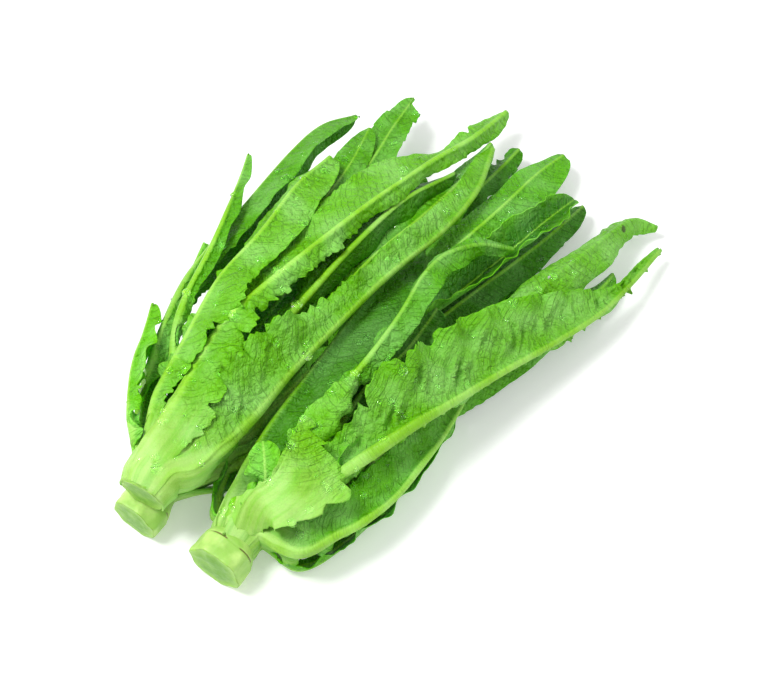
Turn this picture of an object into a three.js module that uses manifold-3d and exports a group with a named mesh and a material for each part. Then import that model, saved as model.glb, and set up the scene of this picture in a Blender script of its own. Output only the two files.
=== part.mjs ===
// A bunch of three heads of long-leaved greens, lying on a table as they were picked.
//
// Millimetres. +X runs along the bunch from the cut ends to the leaf tips, +Z is up and the
// table is z = 0. Head a lies on the left (+Y), partly over head b, and head c on the right.
// Every leaf and every cut stem end is a closed solid of its own. The leaves are laid one by
// one, from the table up, and each is lifted where it would pass through those under it.

import * as THREE from 'three';
import { mergeVertices } from 'three/addons/utils/BufferGeometryUtils.js';
import Module from 'manifold-3d';

const wasm = await Module();
wasm.setup();

// Driving sizes
const BLADE = 1.0; // thickness of a blade
const CLEARANCE = 0.35; // gap kept between two pieces
const LAY_GAP = 0.5; // room left under a leaf when it is laid
const TABLE_GAP = 0.2; // lowest point of a leaf
const LIFT_ROUNDS = 40; // how often a leaf's lift is smoothed
const LIFT_FADE = 0.97; // share of the lift that one smoothing passes on
const LIFT_STEEP = 0.8; // most that the lift changes for each step across a leaf
const RIB_WIDTH_BASE = 6; // half width of the midrib where it leaves the stem
const RIB_WIDTH_TIP = 1.8; // half width of the midrib at the tip
const SHEATH_END = 0.3; // share of a leaf's length where its base stops hugging the stem
const HUG = 14; // length along which a leaf's base follows its stem
const HUG_GAP = 1.5; // distance from the stem to a leaf's middle at the end of that length
const FLESH = 1.2; // how much thicker a leaf is at its foot
const SLIVER = 0.05; // smallest detail that is kept of a cut edge
const WELD = 1e-3; // corners nearer than this are one
const TABLE = { width: 900, depth: 100 }; // the block that cuts the stems flat where they rest

// Heads: centre of the cut, direction of the stem and its radius at the cut
const HEADS = {
  a: { cut: [-167, -8, 41], axis: [0.98, 0.21, 0.08], radius: 13.8 },
  b: { cut: [-172, -3, 13.5], axis: [0.99, 0.12, 0], radius: 14.5 },
  c: { cut: [-164, -56, 15.7], axis: [0.98, 0.17, 0.03], radius: 16.5 },
};

// Stem outline: distance from the cut and share of the radius there
const SHOULDER = { from: 10, to: 22, loss: 0.24 };
const TAPER = { from: 18, to: 62, loss: 0.5 };
const STEM_RINGS = [0, 10, 16, 22, 34, 48, 60];
const STEM_SIDES = 20;

// Leaves from the table up. A leaf leaves its stem at an angle (degrees, 0 on top, positive
// to the left) and a distance from the cut. Its midrib then follows the route. Turn is how
// far the back of the leaf leans to the left at even steps; 0 is back up and 180 face up.
// Left and right are half widths, one for the fullest width or one for each even step. Fold is
// the bend of each half at the midrib and curl the bend across it, left first, in degrees; fold
// may also have a value for each even step. Foot is how far a leaf's foot stands off the stem,
// less than zero where it grows out of it, and off is the room left for leaves under it.
const LEAVES = [
  {
    name: 'leaf_b1', from: [150, 16],
    route: [[-113, -13, 8], [-34, -11, 5], [48, -14, 4], [110, -7, 4]],
    turn: [175, 180, 180], left: 13, right: 13, fold: [0, 0], curl: [8, 8], base: 8, rib: 1.5, plain: true,
  },
  {
    name: 'leaf_b2', from: [115, 18],
    route: [[-121, 13, 10], [-44, 34, 7], [19, 47, 7], [65, 57, 6]],
    turn: [150, 180, 180], left: 13, right: 13, fold: [0, 0], curl: [8, 8], base: 8, rib: 1.5, plain: true,
  },
  {
    name: 'leaf_b3', from: [-115, 16],
    route: [[-91, -42, 8], [-13, -45, 6], [52, -57, 6], [97, -64, 5]],
    turn: [-150, -180, -180], left: 13, right: 13, fold: [0, 0], curl: [8, 8], base: 8, rib: 1.5,
    plain: true,
  },
  {
    name: 'leaf_c1', from: [150, 18],
    route: [[-105, -56, 10], [-35, -50, 7], [26, -49, 6], [81, -51, 5]],
    turn: [175, 180, 180], left: 13, right: 13, fold: [0, 0], curl: [8, 8], base: 8, rib: 1.5, plain: true,
  },
  {
    name: 'leaf_c2', from: [-125, 14],
    route: [[-131, -86, 7], [-106, -94, 7], [-75, -95, 7], [-49, -92, 7], [-27, -88, 7], [-1, -83, 6]],
    turn: [-130, -150, -165], left: 12, right: 13, fold: [5, 5], curl: [20, 20], base: 9, rib: 2,
  },
  {
    name: 'leaf_c3', from: [110, 14],
    route: [[-139, -33, 18], [-103, -15, 14], [-49, -2, 9], [5, 9, 8]],
    turn: [110, 150, 170], left: 15, right: 13, fold: [0, 0], curl: [10, 10], teeth: 5,
  },
  {
    name: 'leaf_b4', from: [-75, 18],
    route: [[-76, -35, 14], [2, -39, 14], [65, -45, 14], [113, -50, 14], [154, -50, 10]],
    turn: [-20, -10, 0], left: 12, right: 13, fold: [10, 10], curl: [20, 20], teeth: 5,
  },
  {
    name: 'leaf_b5', from: [85, 20],
    route: [[-114, 5, 16], [-33, 5, 14], [48, 2, 14], [102, 2, 14], [139, 3, 14], [160, 5, 12]],
    turn: [60, 20, 0], left: 13, right: 13, fold: [10, 10], curl: [30, 30], wave: 3, teeth: 5,
  },
  {
    name: 'leaf_b6', from: [60, 26],
    route: [[-120, -3, 22], [-52, 10, 20], [6, 18, 18], [81, 31, 14], [107, 34, 10]],
    turn: [30, 10, 0], left: 13, right: 13, base: 8, fold: [5, 5], curl: [20, 20], teeth: 5,
  },
  {
    name: 'leaf_b7', from: [-50, 28],
    route: [[-111, -16, 20], [-39, -16, 22], [24, -20, 26], [66, -21, 28], [111, -21, 26], [147, -18, 20],
      [174, -18, 14]],
    turn: [-10, 0, 0], left: [8, 10, 12, 14, 14, 14, 13, 11, 4], right: [8, 10, 14, 18, 20, 20, 20, 17, 5],
    fold: [5, 0], curl: [15, 10],
  },
  {
    name: 'leaf_b8', from: [-85, 32],
    route: [[-75, -35, 22], [-8, -33, 24], [43, -41, 26], [82, -45, 28], [121, -46, 26], [149, -46, 20]],
    turn: [-150, -175, -180], left: 16, right: 17, base: 8, fold: [[25, 45, 45, 30, 10], 25],
    curl: [45, 40],
  },
  {
    name: 'leaf_c4', from: [-85, 28],
    route: [[-84, -73, 14], [-27, -80, 14], [32, -88, 16], [79, -93, 16], [111, -96, 14], [127, -94, 12]],
    turn: [-40, -20, 0], left: 10, right: 11, base: 8, fold: [10, 10], curl: [20, 20], teeth: 5,
  },
  {
    name: 'leaf_c5', from: [-25, 40],
    route: [[-71, -61, 26], [-14, -69, 30], [21, -74, 36], [59, -79, 40], [97, -80, 36], [140, -80, 26],
      [162, -81, 18], [172, -91, 10]],
    turn: [-10, 0, 0], left: [8, 10, 12, 16, 19, 19, 17, 10, 3], right: [8, 10, 12, 16, 19, 20, 18, 11, 3],
    fold: [12, 15], curl: [55, 55],
  },
  {
    name: 'leaf_c6', from: [15, 48],
    route: [[-73, -56, 34], [-35, -50, 38], [-8, -52, 40], [25, -47, 42]],
    turn: [0, 0, 0], left: 13, right: 14, base: 8, fold: [5, 5], curl: [20, 20], wave: 5, waves: 9,
    teeth: 5,
  },
  {
    name: 'leaf_c7', from: [-60, 13],
    route: [[-131, -87, 28], [-111, -95, 27], [-93, -100, 23], [-67, -101, 18], [-38, -97, 14],
      [-11, -91, 12], [13, -85, 10]],
    turn: [-60, -60, -40], left: [17, 16, 20, 22, 20, 16, 3], right: [17, 13, 16, 14, 12, 8, 3],
    fold: [10, 20], curl: [25, 40], rib: 5,
  },
  {
    name: 'leaf_c8', from: [10, 46],
    route: [[-95, -61, 40], [-80, -60, 44], [-67, -59, 46]],
    turn: [0, 0, 0], left: 12, right: 14, base: 8, fold: [0, 0], curl: [20, 20], wave: 3, teeth: 5,
  },
  {
    name: 'leaf_c9', from: [-15, 32],
    route: [[-113, -75, 36], [-88, -80, 38], [-52, -87, 40], [-17, -93, 40], [19, -98, 36], [55, -104, 30],
      [94, -109, 24], [127, -107, 18], [159, -103, 12]],
    turn: [-25, -20, -10], left: [8, 12, 22, 38, 37, 34, 22, 5, 2], right: [8, 12, 18, 8, 8, 8, 7, 4, 2],
    fold: [-8, 60], curl: [-5, 40], rib: 4, jag: 4,
  },
  {
    name: 'leaf_c10', from: [48, 13],
    route: [[-97, -33, 40], [-54, -25, 42], [-15, -17, 40], [24, -8, 34], [58, -1, 26]],
    turn: [35, 20, 10], left: [15, 10, 9, 9, 10, 10, 8, 3], right: [15, 12, 14, 20, 24, 22, 16, 3],
    fold: [10, 5], curl: [40, 10], rib: 5,
  },
  {
    name: 'leaf_c11', from: [20, 40],
    route: [[-93, -52, 44], [-60, -48, 50], [-29, -46, 56], [-1, -42, 60], [27, -35, 62], [47, -34, 60],
      [69, -40, 52], [86, -51, 40]],
    turn: [20, 40, -20], left: 8, right: 11, base: 8, fold: [10, 40], curl: [30, 30], rib: 2,
  },
  {
    name: 'leaf_c14', from: [0, 30],
    route: [[-98, -56, 42], [-80, -54, 46], [-62, -54, 50], [-46, -50, 50]],
    turn: [0, -10, -20], left: 11, right: 15, base: 8, fold: [0, 20], curl: [20, 70], rib: 1, wave: 3,
    teeth: 5,
  },
  {
    name: 'leaf_c12', from: [10, 18], off: 6,
    route: [[-122, -54, 45], [-115, -49, 53], [-107, -40, 57]],
    turn: [40, 25, 15], left: [9, 6, 6, 10, 12, 9, 3], right: [9, 6, 6, 10, 12, 9, 3], fold: [0, 0],
    curl: [-10, -10], base: 10, rib: 1, teeth: 5,
  },
  {
    name: 'leaf_c13', from: [-8, 15], off: 2.6,
    route: [[-119, -59, 41], [-101, -55, 50], [-82, -46, 55]],
    turn: [-20, -25, -20], left: [5, 7, 6, 5, 4, 3, 3, 3, 3, 3, 3, 2, 1],
    right: [5, 8, 13, 18, 22, 25, 32, 38, 34, 27, 18, 9, 1], fold: [5, -10], curl: [5, 5], rib: 1, jag: 4,
    teeth: 7, wave: 2,
  },
  {
    name: 'leaf_a1', from: [120, 14],
    route: [[-80, 64, 28], [-47, 78, 28], [-23, 89, 28]],
    turn: [80, 60, 40], left: 8, right: 13, fold: [20, 20], curl: [20, 20],
  },
  {
    name: 'leaf_a2', from: [105, 1], foot: 1,
    route: [[-128, 33, 34], [-95, 52, 34], [-59, 68, 36], [-28, 76, 38], [7, 83, 38], [54, 93, 34],
      [85, 97, 28], [109, 92, 20]],
    turn: [80, 75, 70], left: 20, right: 15, fold: [25, 30], curl: [35, 35],
  },
  {
    name: 'leaf_a3', from: [90, 28],
    route: [[-83, 49, 36], [-33, 70, 38], [-4, 85, 40], [21, 100, 36], [36, 110, 32]],
    turn: [60, 60, 60], left: 6, right: 7, base: 8, fold: [20, 20], curl: [15, 15],
  },
  {
    name: 'leaf_a4', from: [135, 1], foot: 2, off: 3.5,
    route: [[-141, 25, 38], [-120, 45, 42], [-98, 59, 42], [-80, 71, 42]],
    turn: [90, 80, 60], left: 10, right: 10, fold: [20, 20], curl: [20, 20], wave: 3, teeth: 5,
  },
  {
    name: 'leaf_a5', from: [55, 36],
    route: [[-61, 31, 40], [-3, 40, 38], [49, 49, 34], [86, 57, 30], [113, 66, 26], [142, 74, 22]],
    turn: [0, 0, 0], left: 14, right: 14, base: 8, fold: [0, 0], curl: [-20, -20], teeth: 5,
  },
  {
    name: 'leaf_a6', from: [70, 30],
    route: [[-50, 42, 36], [5, 48, 36], [40, 53, 34], [70, 61, 30], [102, 74, 24]],
    turn: [20, 5, 0], left: 14, right: 12, base: 8, fold: [0, 0], curl: [10, 10], teeth: 5,
  },
  {
    name: 'leaf_a7', from: [-75, 18],
    route: [[-91, -5, 30], [-40, -2, 34], [15, 3, 36], [68, 4, 34], [112, 8, 28], [146, 16, 22]],
    turn: [-30, -20, 0], left: 12, right: 12, fold: [10, 10], curl: [30, 30],
  },
  {
    name: 'leaf_a8', from: [-15, 26],
    route: [[-109, -2, 50], [-72, 2, 52], [-32, 7, 52], [14, 12, 50], [65, 16, 42], [108, 12, 30]],
    turn: [-15, -10, 0], left: 12, right: 12, base: 8, fold: [15, 40], curl: [30, 30],
  },
  {
    name: 'leaf_a9', from: [-50, 0], foot: 1,
    route: [[-136, -21, 48], [-99, -21, 50], [-61, -17, 52], [-18, -14, 48], [30, -12, 42], [67, -12, 36],
      [105, -6, 28], [139, 10, 22]],
    turn: [-50, -45, -30], left: [18, 22, 34, 24, 14, 14, 14, 12, 3],
    right: [18, 14, 12, 12, 12, 12, 12, 10, 3], fold: [-15, 45], curl: [45, 40], rib: 5, jag: 3.5,
  },
  {
    name: 'leaf_a10', from: [35, 0], foot: 1,
    route: [[-125, 8, 58], [-79, 19, 62], [-30, 21, 62], [29, 22, 56], [84, 22, 44], [134, 22, 30],
      [171, 25, 20]],
    turn: [20, 5, 0], left: [16, 14, 14, 16, 19, 22, 25, 27, 27, 24, 9, 10, 3],
    right: [14, 18, 22, 20, 11, 9, 9, 9, 9, 9, 7, 9, 3], fold: [0, [0, 5, 25, 45, 45, 30]], curl: [10, 40],
    rib: 5,
  },
  {
    name: 'leaf_a11', from: [75, 10],
    route: [[-123, 23, 50], [-92, 31, 56], [-52, 44, 60], [-13, 51, 60], [29, 64, 52], [63, 70, 42]],
    turn: [25, 10, 5], left: [14, 12, 15, 10, 12, 13, 12, 6], right: [14, 10, 12, 20, 16, 19, 16, 6],
    fold: [30, 5], curl: [20, 10],
  },
];

// What a leaf has unless its entry says otherwise
const USUAL = { base: 12, rib: 3, wave: 2, waves: 6, jag: 2.5, teeth: 7, foot: -2.5, off: 0 };

// Shares of the fullest half width at even steps from the stem to the tip
const OUTLINE = [0.42, 0.45, 0.6, 0.9, 1, 1, 0.78, 0.1];

// Places across a blade, from its right margin to its left one
const WIDE_COLUMNS = [-1, -0.55, -0.2, 0, 0.2, 0.55, 1];
const SLIM_COLUMNS = [-1, -0.3, 0, 0.3, 1];
const PLAIN_COLUMNS = [-1, 0, 1];
const WIDE_FROM = 20.5; // half width from which a blade has the wide columns
const CURL_FROM = 50; // and the curl from which it has them
const PLAIN_ROWS = 13;

// Colours and finish
const LEAF_MATERIAL = { color: '#5fae2c', roughness: 0.55, metalness: 0 };
const STEM_MATERIAL = { color: '#b9d88a', roughness: 0.5, metalness: 0 };

const radians = THREE.MathUtils.degToRad;
const ease = (from, to, x) => THREE.MathUtils.smoothstep(x, from, to);

// Value at share t between evenly spaced keys, easing from one to the next
function blend(keys, t) {
  const place = t * (keys.length - 1);
  const i = Math.min(Math.floor(place), keys.length - 2);
  const f = ease(0, 1, place - i);
  return keys[i] * (1 - f) + keys[i + 1] * f;
}

// Half width from evenly spaced keys: a smooth curve whose last step rounds off to the tip
function outline(keys, t) {
  const place = t * (keys.length - 1);
  const i = Math.min(Math.floor(place), keys.length - 2);
  const f = place - i;
  const here = keys[i];
  const next = keys[i + 1];
  if (i === keys.length - 2) {
    return here * Math.sqrt(Math.max(0, 1 - f * f * (1 - (next / here) ** 2)));
  }
  const before = keys[Math.max(i - 1, 0)];
  const after = keys[i + 2];
  const slope = (next - before) / 2;
  const bend = (2 * before - 5 * here + 4 * next - after) / 2;
  const twist = (3 * here - before - 3 * next + after) / 2;
  return here + slope * f + bend * f * f + twist * f ** 3;
}

// Direction, left and up of a head's stem
function headFrame(head) {
  const along = new THREE.Vector3(...head.axis).normalize();
  const left = new THREE.Vector3(0, 0, 1).cross(along).normalize();
  const up = new THREE.Vector3().crossVectors(along, left);
  return { along, left, up };
}

function stemRadius(head, rise) {
  const shoulder = SHOULDER.loss * ease(SHOULDER.from, SHOULDER.to, rise);
  const taper = TAPER.loss * ease(TAPER.from, TAPER.to, rise);
  return head.radius * (1 - shoulder - taper);
}

// Midrib of a leaf: two points against the stem, then its route
function midrib(leaf, head) {
  const { along, left, up } = headFrame(head);
  const [angle, rise] = leaf.from;
  const radial = up.clone().multiplyScalar(Math.cos(radians(angle)));
  radial.addScaledVector(left, Math.sin(radians(angle)));
  const gaps = [[0, leaf.foot], [HUG, HUG_GAP + leaf.off]];
  const hug = gaps.map(([onward, gap]) => {
    const place = new THREE.Vector3(...head.cut).addScaledVector(along, rise + onward);
    return place.addScaledVector(radial, stemRadius(head, rise + onward) + gap);
  });
  const curve = new THREE.CatmullRomCurve3(
    [...hug, ...leaf.route.map((point) => new THREE.Vector3(...point))], false, 'catmullrom',
  );
  curve.arcLengthDivisions = 400;
  return curve;
}

// Teeth of the margin: half width gained and lost along one side
function teeth(leaf, side, t) {
  const place = t * leaf.teeth + 0.25 + 0.5 * side;
  const saw = place - Math.floor(place) - 0.5;
  const fade = ease(0.1, 0.16, t) * (1 - 0.75 * ease(0.35, 0.6, t)) * (1 - ease(0.9, 1, t));
  return 2 * leaf.jag * saw * fade;
}

// Half width at share t, side 0 for the left and 1 for the right
function halfWidth(leaf, side, t) {
  const keys = side ? leaf.right : leaf.left;
  const width = outline(keys, t);
  return Math.max(0.5, width + teeth(leaf, side, t) * THREE.MathUtils.clamp(width / 8, 0, 1));
}

// Ruffle of a margin, in mm along the normal
function ruffle(leaf, side, t, out) {
  const phase = side ? 1.7 : 0;
  const height = leaf.wave * out ** 2.2 * ease(0.08, 0.22, t) * (1 - 0.6 * ease(0.75, 1, t));
  const turn = 2 * Math.PI * leaf.waves * t;
  return height * (0.7 * Math.sin(turn + phase) + 0.5 * Math.sin(1.3 * turn + 2.1 * phase + 1));
}

// Middle surface of a leaf: rows of points from the stem to the tip, with their normals
function middleSurface(leaf, head, rows, columns) {
  const curve = midrib(leaf, head);
  const points = [];
  const normals = [];
  for (let i = 0; i < rows; i += 1) {
    const t = i / (rows - 1);
    const centre = curve.getPointAt(t);
    const along = curve.getTangentAt(t);
    const up = new THREE.Vector3(0, 0, 1).addScaledVector(along, -along.z).normalize();
    const left = new THREE.Vector3().crossVectors(up, along);
    const roll = radians(blend([leaf.from[0], ...leaf.turn], t));
    const back = up.clone().multiplyScalar(Math.cos(roll)).addScaledVector(left, Math.sin(roll));
    const across = left.clone().multiplyScalar(Math.cos(roll)).addScaledVector(up, -Math.sin(roll));
    const free = ease(0.04, SHEATH_END, t);
    points.push([]);
    normals.push([]);
    columns.forEach((place) => {
      const side = place >= 0 ? 0 : 1;
      const sign = place >= 0 ? 1 : -1;
      const out = Math.abs(place);
      const width = halfWidth(leaf, side, t);
      const hug = width / (head.radius + 2);
      const fold = leaf.fold[side];
      const start = radians(Array.isArray(fold) ? blend(fold, t) : fold) * free;
      const bend = radians(leaf.curl[side]) * free + hug * (1 - free) || 1e-3;
      const end = start + bend * out;
      const reach = (width / bend) * (Math.sin(end) - Math.sin(start));
      const drop = (width / bend) * (Math.cos(start) - Math.cos(end));
      const normal = back.clone().multiplyScalar(Math.cos(end)).addScaledVector(across, sign * Math.sin(end));
      const point = centre.clone().addScaledVector(across, sign * reach).addScaledVector(back, -drop);
      point.addScaledVector(normal, ruffle(leaf, side, t, out));
      points[i].push(point);
      normals[i].push(normal);
    });
  }
  return { points, normals };
}

// Normals of a grid of points, each from the points next to it
function gridNormals(points) {
  const last = points.length - 1;
  const edge = points[0].length - 1;
  return points.map((row, i) => row.map((_, j) => {
    const along = points[Math.min(i + 1, last)][j].clone().sub(points[Math.max(i - 1, 0)][j]);
    const across = row[Math.min(j + 1, edge)].clone().sub(row[Math.max(j - 1, 0)]);
    return along.cross(across).normalize();
  }));
}

// Height of the back above the blade, at share t and u mm from the middle: the midrib, which
// rises from the fleshy foot
function ribHeight(leaf, t, u) {
  const width = RIB_WIDTH_TIP + (RIB_WIDTH_BASE - RIB_WIDTH_TIP) * (1 - ease(0, 0.6, t));
  const rise = leaf.rib * (1 - 0.6 * t) * (0.25 + 0.75 * ease(0, 0.14, t));
  return rise * Math.exp(-((u / width) ** 2)) + FLESH * (1 - ease(0, 0.2, t));
}

// One face of a leaf: 1 is the back, with the midrib on it, and -1 the inner face
function faceGrid(leaf, surface, columns, face, extra = 0) {
  const { points, normals } = surface;
  return points.map((row, i) => row.map((point, j) => {
    const t = i / (points.length - 1);
    const u = Math.abs(columns[j]) * halfWidth(leaf, columns[j] >= 0 ? 0 : 1, t);
    const rib = face > 0 ? ribHeight(leaf, t, u) : 0;
    return point.clone().addScaledVector(normals[i][j], face * (BLADE / 2 + extra + rib));
  }));
}

// Top of everything laid so far, in square cells of the table
const CELL = 2.5;
const FIELD = { x: -230, y: -180, columns: 180, rows: 140 };
const tops = new Float64Array(FIELD.columns * FIELD.rows);

function cellAt(x, y) {
  const i = THREE.MathUtils.clamp(Math.floor((x - FIELD.x) / CELL), 0, FIELD.columns - 1);
  const j = THREE.MathUtils.clamp(Math.floor((y - FIELD.y) / CELL), 0, FIELD.rows - 1);
  return i * FIELD.rows + j;
}

// Calls visit(x, y, z) at a few places inside one patch of a grid
function samplePatch(grid, i, j, visit) {
  const steps = 4;
  const corners = [grid[i][j], grid[i + 1][j], grid[i][j + 1], grid[i + 1][j + 1]];
  for (let a = 0; a < steps; a += 1) {
    for (let b = 0; b < steps; b += 1) {
      const u = (a + 0.5) / steps;
      const v = (b + 0.5) / steps;
      const shares = [(1 - u) * (1 - v), u * (1 - v), (1 - u) * v, u * v];
      const at = new THREE.Vector3();
      corners.forEach((corner, k) => at.addScaledVector(corner, shares[k]));
      visit(at.x, at.y, at.z);
    }
  }
}

// Lifts a leaf clear of what is already laid, smoothly from where its base is held
function drape(surface, faces) {
  const rows = surface.points.length;
  const columns = surface.points[0].length;
  const free = surface.points.map((_, i) => ease(0.05, SHEATH_END, i / (rows - 1)));
  const want = surface.points.map((row) => row.map(() => 0));
  for (let i = 0; i < rows - 1; i += 1) {
    for (let j = 0; j < columns - 1; j += 1) {
      let need = 0;
      for (const face of faces) {
        samplePatch(face, i, j, (x, y, z) => {
          need = Math.max(need, tops[cellAt(x, y)] + LAY_GAP - z);
        });
      }
      for (const [a, b] of [[i, j], [i + 1, j], [i, j + 1], [i + 1, j + 1]]) {
        want[a][b] = Math.max(want[a][b], need * free[a]);
      }
    }
  }
  let lift = want;
  const edge = (i, j) => {
    const a = THREE.MathUtils.clamp(i, 0, rows - 1);
    const b = THREE.MathUtils.clamp(j, 0, columns - 1);
    return lift[a][b];
  };
  const beside = (i, j, k) => {
    const other = surface.points[i][k];
    if (!other) return 0;
    const { x, y } = surface.points[i][j];
    return lift[i][k] - LIFT_STEEP * Math.hypot(x - other.x, y - other.y);
  };
  for (let round = 0; round < LIFT_ROUNDS; round += 1) {
    lift = want.map((row, i) => row.map((least, j) => {
      const around = (edge(i - 1, j) + edge(i + 1, j) + edge(i, j - 1) + edge(i, j + 1)) / 4;
      const held = Math.max(beside(i, j, j - 1), beside(i, j, j + 1));
      return Math.max(least, around * LIFT_FADE * free[i], held * Math.sqrt(free[i]));
    }));
  }
  surface.points.forEach((row, i) => row.forEach((point, j) => {
    point.z = Math.max(point.z + lift[i][j], BLADE / 2 + TABLE_GAP);
  }));
  surface.normals = gridNormals(surface.points);
}

function lay(faces) {
  for (const face of faces) {
    for (let i = 0; i < face.length - 1; i += 1) {
      for (let j = 0; j < face[0].length - 1; j += 1) {
        samplePatch(face, i, j, (x, y, z) => {
          const cell = cellAt(x, y);
          tops[cell] = Math.max(tops[cell], z);
        });
      }
    }
  }
}

// Closed solid round a middle surface, grown by extra on every side
function leafSolid(leaf, surface, columns, extra) {
  const { points } = surface;
  const rows = points.length;
  const width = columns.length;
  const vertices = [];
  for (const face of [1, -1]) {
    faceGrid(leaf, surface, columns, face, extra).forEach((row, i) => row.forEach((at, j) => {
      const neighbours = [];
      if (j === 0) neighbours.push(points[i][1]);
      if (j === width - 1) neighbours.push(points[i][width - 2]);
      if (i === 0) neighbours.push(points[1][j]);
      if (i === rows - 1) neighbours.push(points[rows - 2][j]);
      for (const neighbour of neighbours) {
        const inward = neighbour.clone().sub(points[i][j]).normalize();
        at.addScaledVector(inward, -extra);
      }
      vertices.push(at.x, at.y, Math.max(at.z, TABLE_GAP - extra));
    }));
  }
  const under = rows * width;
  const triangles = [];
  for (let i = 0; i < rows - 1; i += 1) {
    for (let j = 0; j < width - 1; j += 1) {
      const [a, b, c, d] = [i * width + j, (i + 1) * width + j, (i + 1) * width + j + 1, i * width + j + 1];
      triangles.push(a, b, c, a, c, d);
      triangles.push(under + a, under + c, under + b, under + a, under + d, under + c);
    }
  }
  const rim = [];
  for (let i = 0; i < rows; i += 1) rim.push(i * width);
  for (let j = 1; j < width; j += 1) rim.push((rows - 1) * width + j);
  for (let i = rows - 2; i >= 0; i -= 1) rim.push(i * width + width - 1);
  for (let j = width - 2; j > 0; j -= 1) rim.push(j);
  rim.forEach((a, k) => {
    const b = rim[(k + 1) % rim.length];
    triangles.push(b, a, under + a, b, under + a, under + b);
  });
  return toManifold(vertices, triangles);
}

function toManifold(vertices, triangles) {
  return new wasm.Manifold(new wasm.Mesh({
    numProp: 3,
    vertProperties: new Float32Array(vertices),
    triVerts: new Uint32Array(triangles),
  }));
}

// Cut end of a head: a round stem that narrows inside the leaves, flat where it meets the table
function stemSolid(head, extra) {
  const { along, left, up } = headFrame(head);
  const rings = STEM_RINGS.map((rise) => ({ rise, radius: stemRadius(head, rise) + extra }));
  rings[0].rise -= extra;
  rings[rings.length - 1].rise += extra;
  const vertices = [];
  for (const { rise, radius } of rings) {
    for (let k = 0; k < STEM_SIDES; k += 1) {
      const angle = (2 * Math.PI * k) / STEM_SIDES;
      const at = new THREE.Vector3(...head.cut).addScaledVector(along, rise);
      at.addScaledVector(up, radius * Math.cos(angle)).addScaledVector(left, -radius * Math.sin(angle));
      vertices.push(...at.toArray());
    }
  }
  const triangles = [];
  for (let i = 0; i < rings.length - 1; i += 1) {
    for (let k = 0; k < STEM_SIDES; k += 1) {
      const next = (k + 1) % STEM_SIDES;
      const [a, b] = [i * STEM_SIDES + k, i * STEM_SIDES + next];
      triangles.push(a, b, a + STEM_SIDES, b, b + STEM_SIDES, a + STEM_SIDES);
    }
  }
  const last = (rings.length - 1) * STEM_SIDES;
  for (let k = 1; k < STEM_SIDES - 1; k += 1) {
    triangles.push(0, k + 1, k, last, last + k, last + k + 1);
  }
  return toManifold(vertices, triangles).subtract(tableSolid());
}

// Everything under the table's top
function tableSolid() {
  const box = new THREE.BoxGeometry(TABLE.width, TABLE.width, TABLE.depth);
  box.translate(0, 0, -TABLE.depth / 2);
  box.deleteAttribute('normal');
  box.deleteAttribute('uv');
  const block = mergeVertices(box);
  return toManifold(block.getAttribute('position').array, block.index.array);
}

// Lays the leaves from the table up
const laid = LEAVES.map((entry) => {
  const leaf = { ...USUAL, ...entry };
  for (const side of ['left', 'right']) {
    if (!Array.isArray(leaf[side])) leaf[side] = [leaf.base, ...OUTLINE.map((share) => share * leaf[side])];
  }
  const head = HEADS[leaf.name.charAt(5)];
  const widest = Math.max(...leaf.left, ...leaf.right);
  const rows = leaf.plain ? PLAIN_ROWS : 2 * leaf.teeth + 1;
  const broad = widest > WIDE_FROM || Math.max(...leaf.curl) > CURL_FROM;
  const full = broad ? WIDE_COLUMNS : SLIM_COLUMNS;
  const columns = leaf.plain ? PLAIN_COLUMNS : full;
  const surface = middleSurface(leaf, head, rows, columns);
  const faces = () => [1, -1].map((face) => faceGrid(leaf, surface, columns, face));
  drape(surface, faces());
  lay(faces());
  return { leaf, surface, columns };
});

// The largest body of a solid
function largest(solid) {
  const bodies = solid.decompose();
  return bodies.reduce((best, body) => (body.volume() > best.volume() ? body : best), bodies[0]);
}

function geometryOf(solid) {
  const mesh = solid.getMesh();
  const geometry = new THREE.BufferGeometry();
  geometry.setAttribute('position', new THREE.BufferAttribute(new Float32Array(mesh.vertProperties), 3));
  geometry.setIndex(new THREE.BufferAttribute(new Uint32Array(mesh.triVerts), 1));
  return geometry;
}

// The same solid with the corners joined that all but coincide
function welded(solid) {
  const geometry = mergeVertices(geometryOf(solid), WELD);
  return toManifold(geometry.getAttribute('position').array, geometry.index.array);
}

function touches(a, b) {
  const [p, q] = [a.boundingBox(), b.boundingBox()];
  return [0, 1, 2].every((k) => p.min[k] < q.max[k] && q.min[k] < p.max[k]);
}

// Cuts every piece clear of those before it: the stems first, then the leaves from the top down
function trim(pieces) {
  const done = [];
  for (const piece of pieces) {
    let body = piece.solid;
    for (const other of done) {
      if (touches(body, other.grown)) body = body.subtract(other.grown);
    }
    done.push({ ...piece, body: largest(welded(largest(body).simplify(SLIVER))) });
  }
  return done;
}

const stems = Object.entries(HEADS).map(([key, head]) => ({
  name: `butt_${key}`,
  material: STEM_MATERIAL,
  solid: stemSolid(head, 0),
  grown: stemSolid(head, CLEARANCE),
}));
const leaves = laid.reverse().map(({ leaf, surface, columns }) => {
  const solid = leafSolid(leaf, surface, columns, 0);
  const grown = leafSolid(leaf, surface, columns, CLEARANCE).add(solid);
  return { name: leaf.name, material: LEAF_MATERIAL, solid, grown };
});

function toMesh({ name, material, body }) {
  const geometry = geometryOf(body);
  geometry.computeVertexNormals();
  const result = new THREE.Mesh(geometry, new THREE.MeshStandardMaterial(material));
  result.name = name;
  return result;
}

const bunch = new THREE.Group();
bunch.name = 'greens_bunch';
bunch.add(...trim([...stems, ...leaves]).map(toMesh));

export default bunch;
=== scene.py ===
import math
import random

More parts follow.
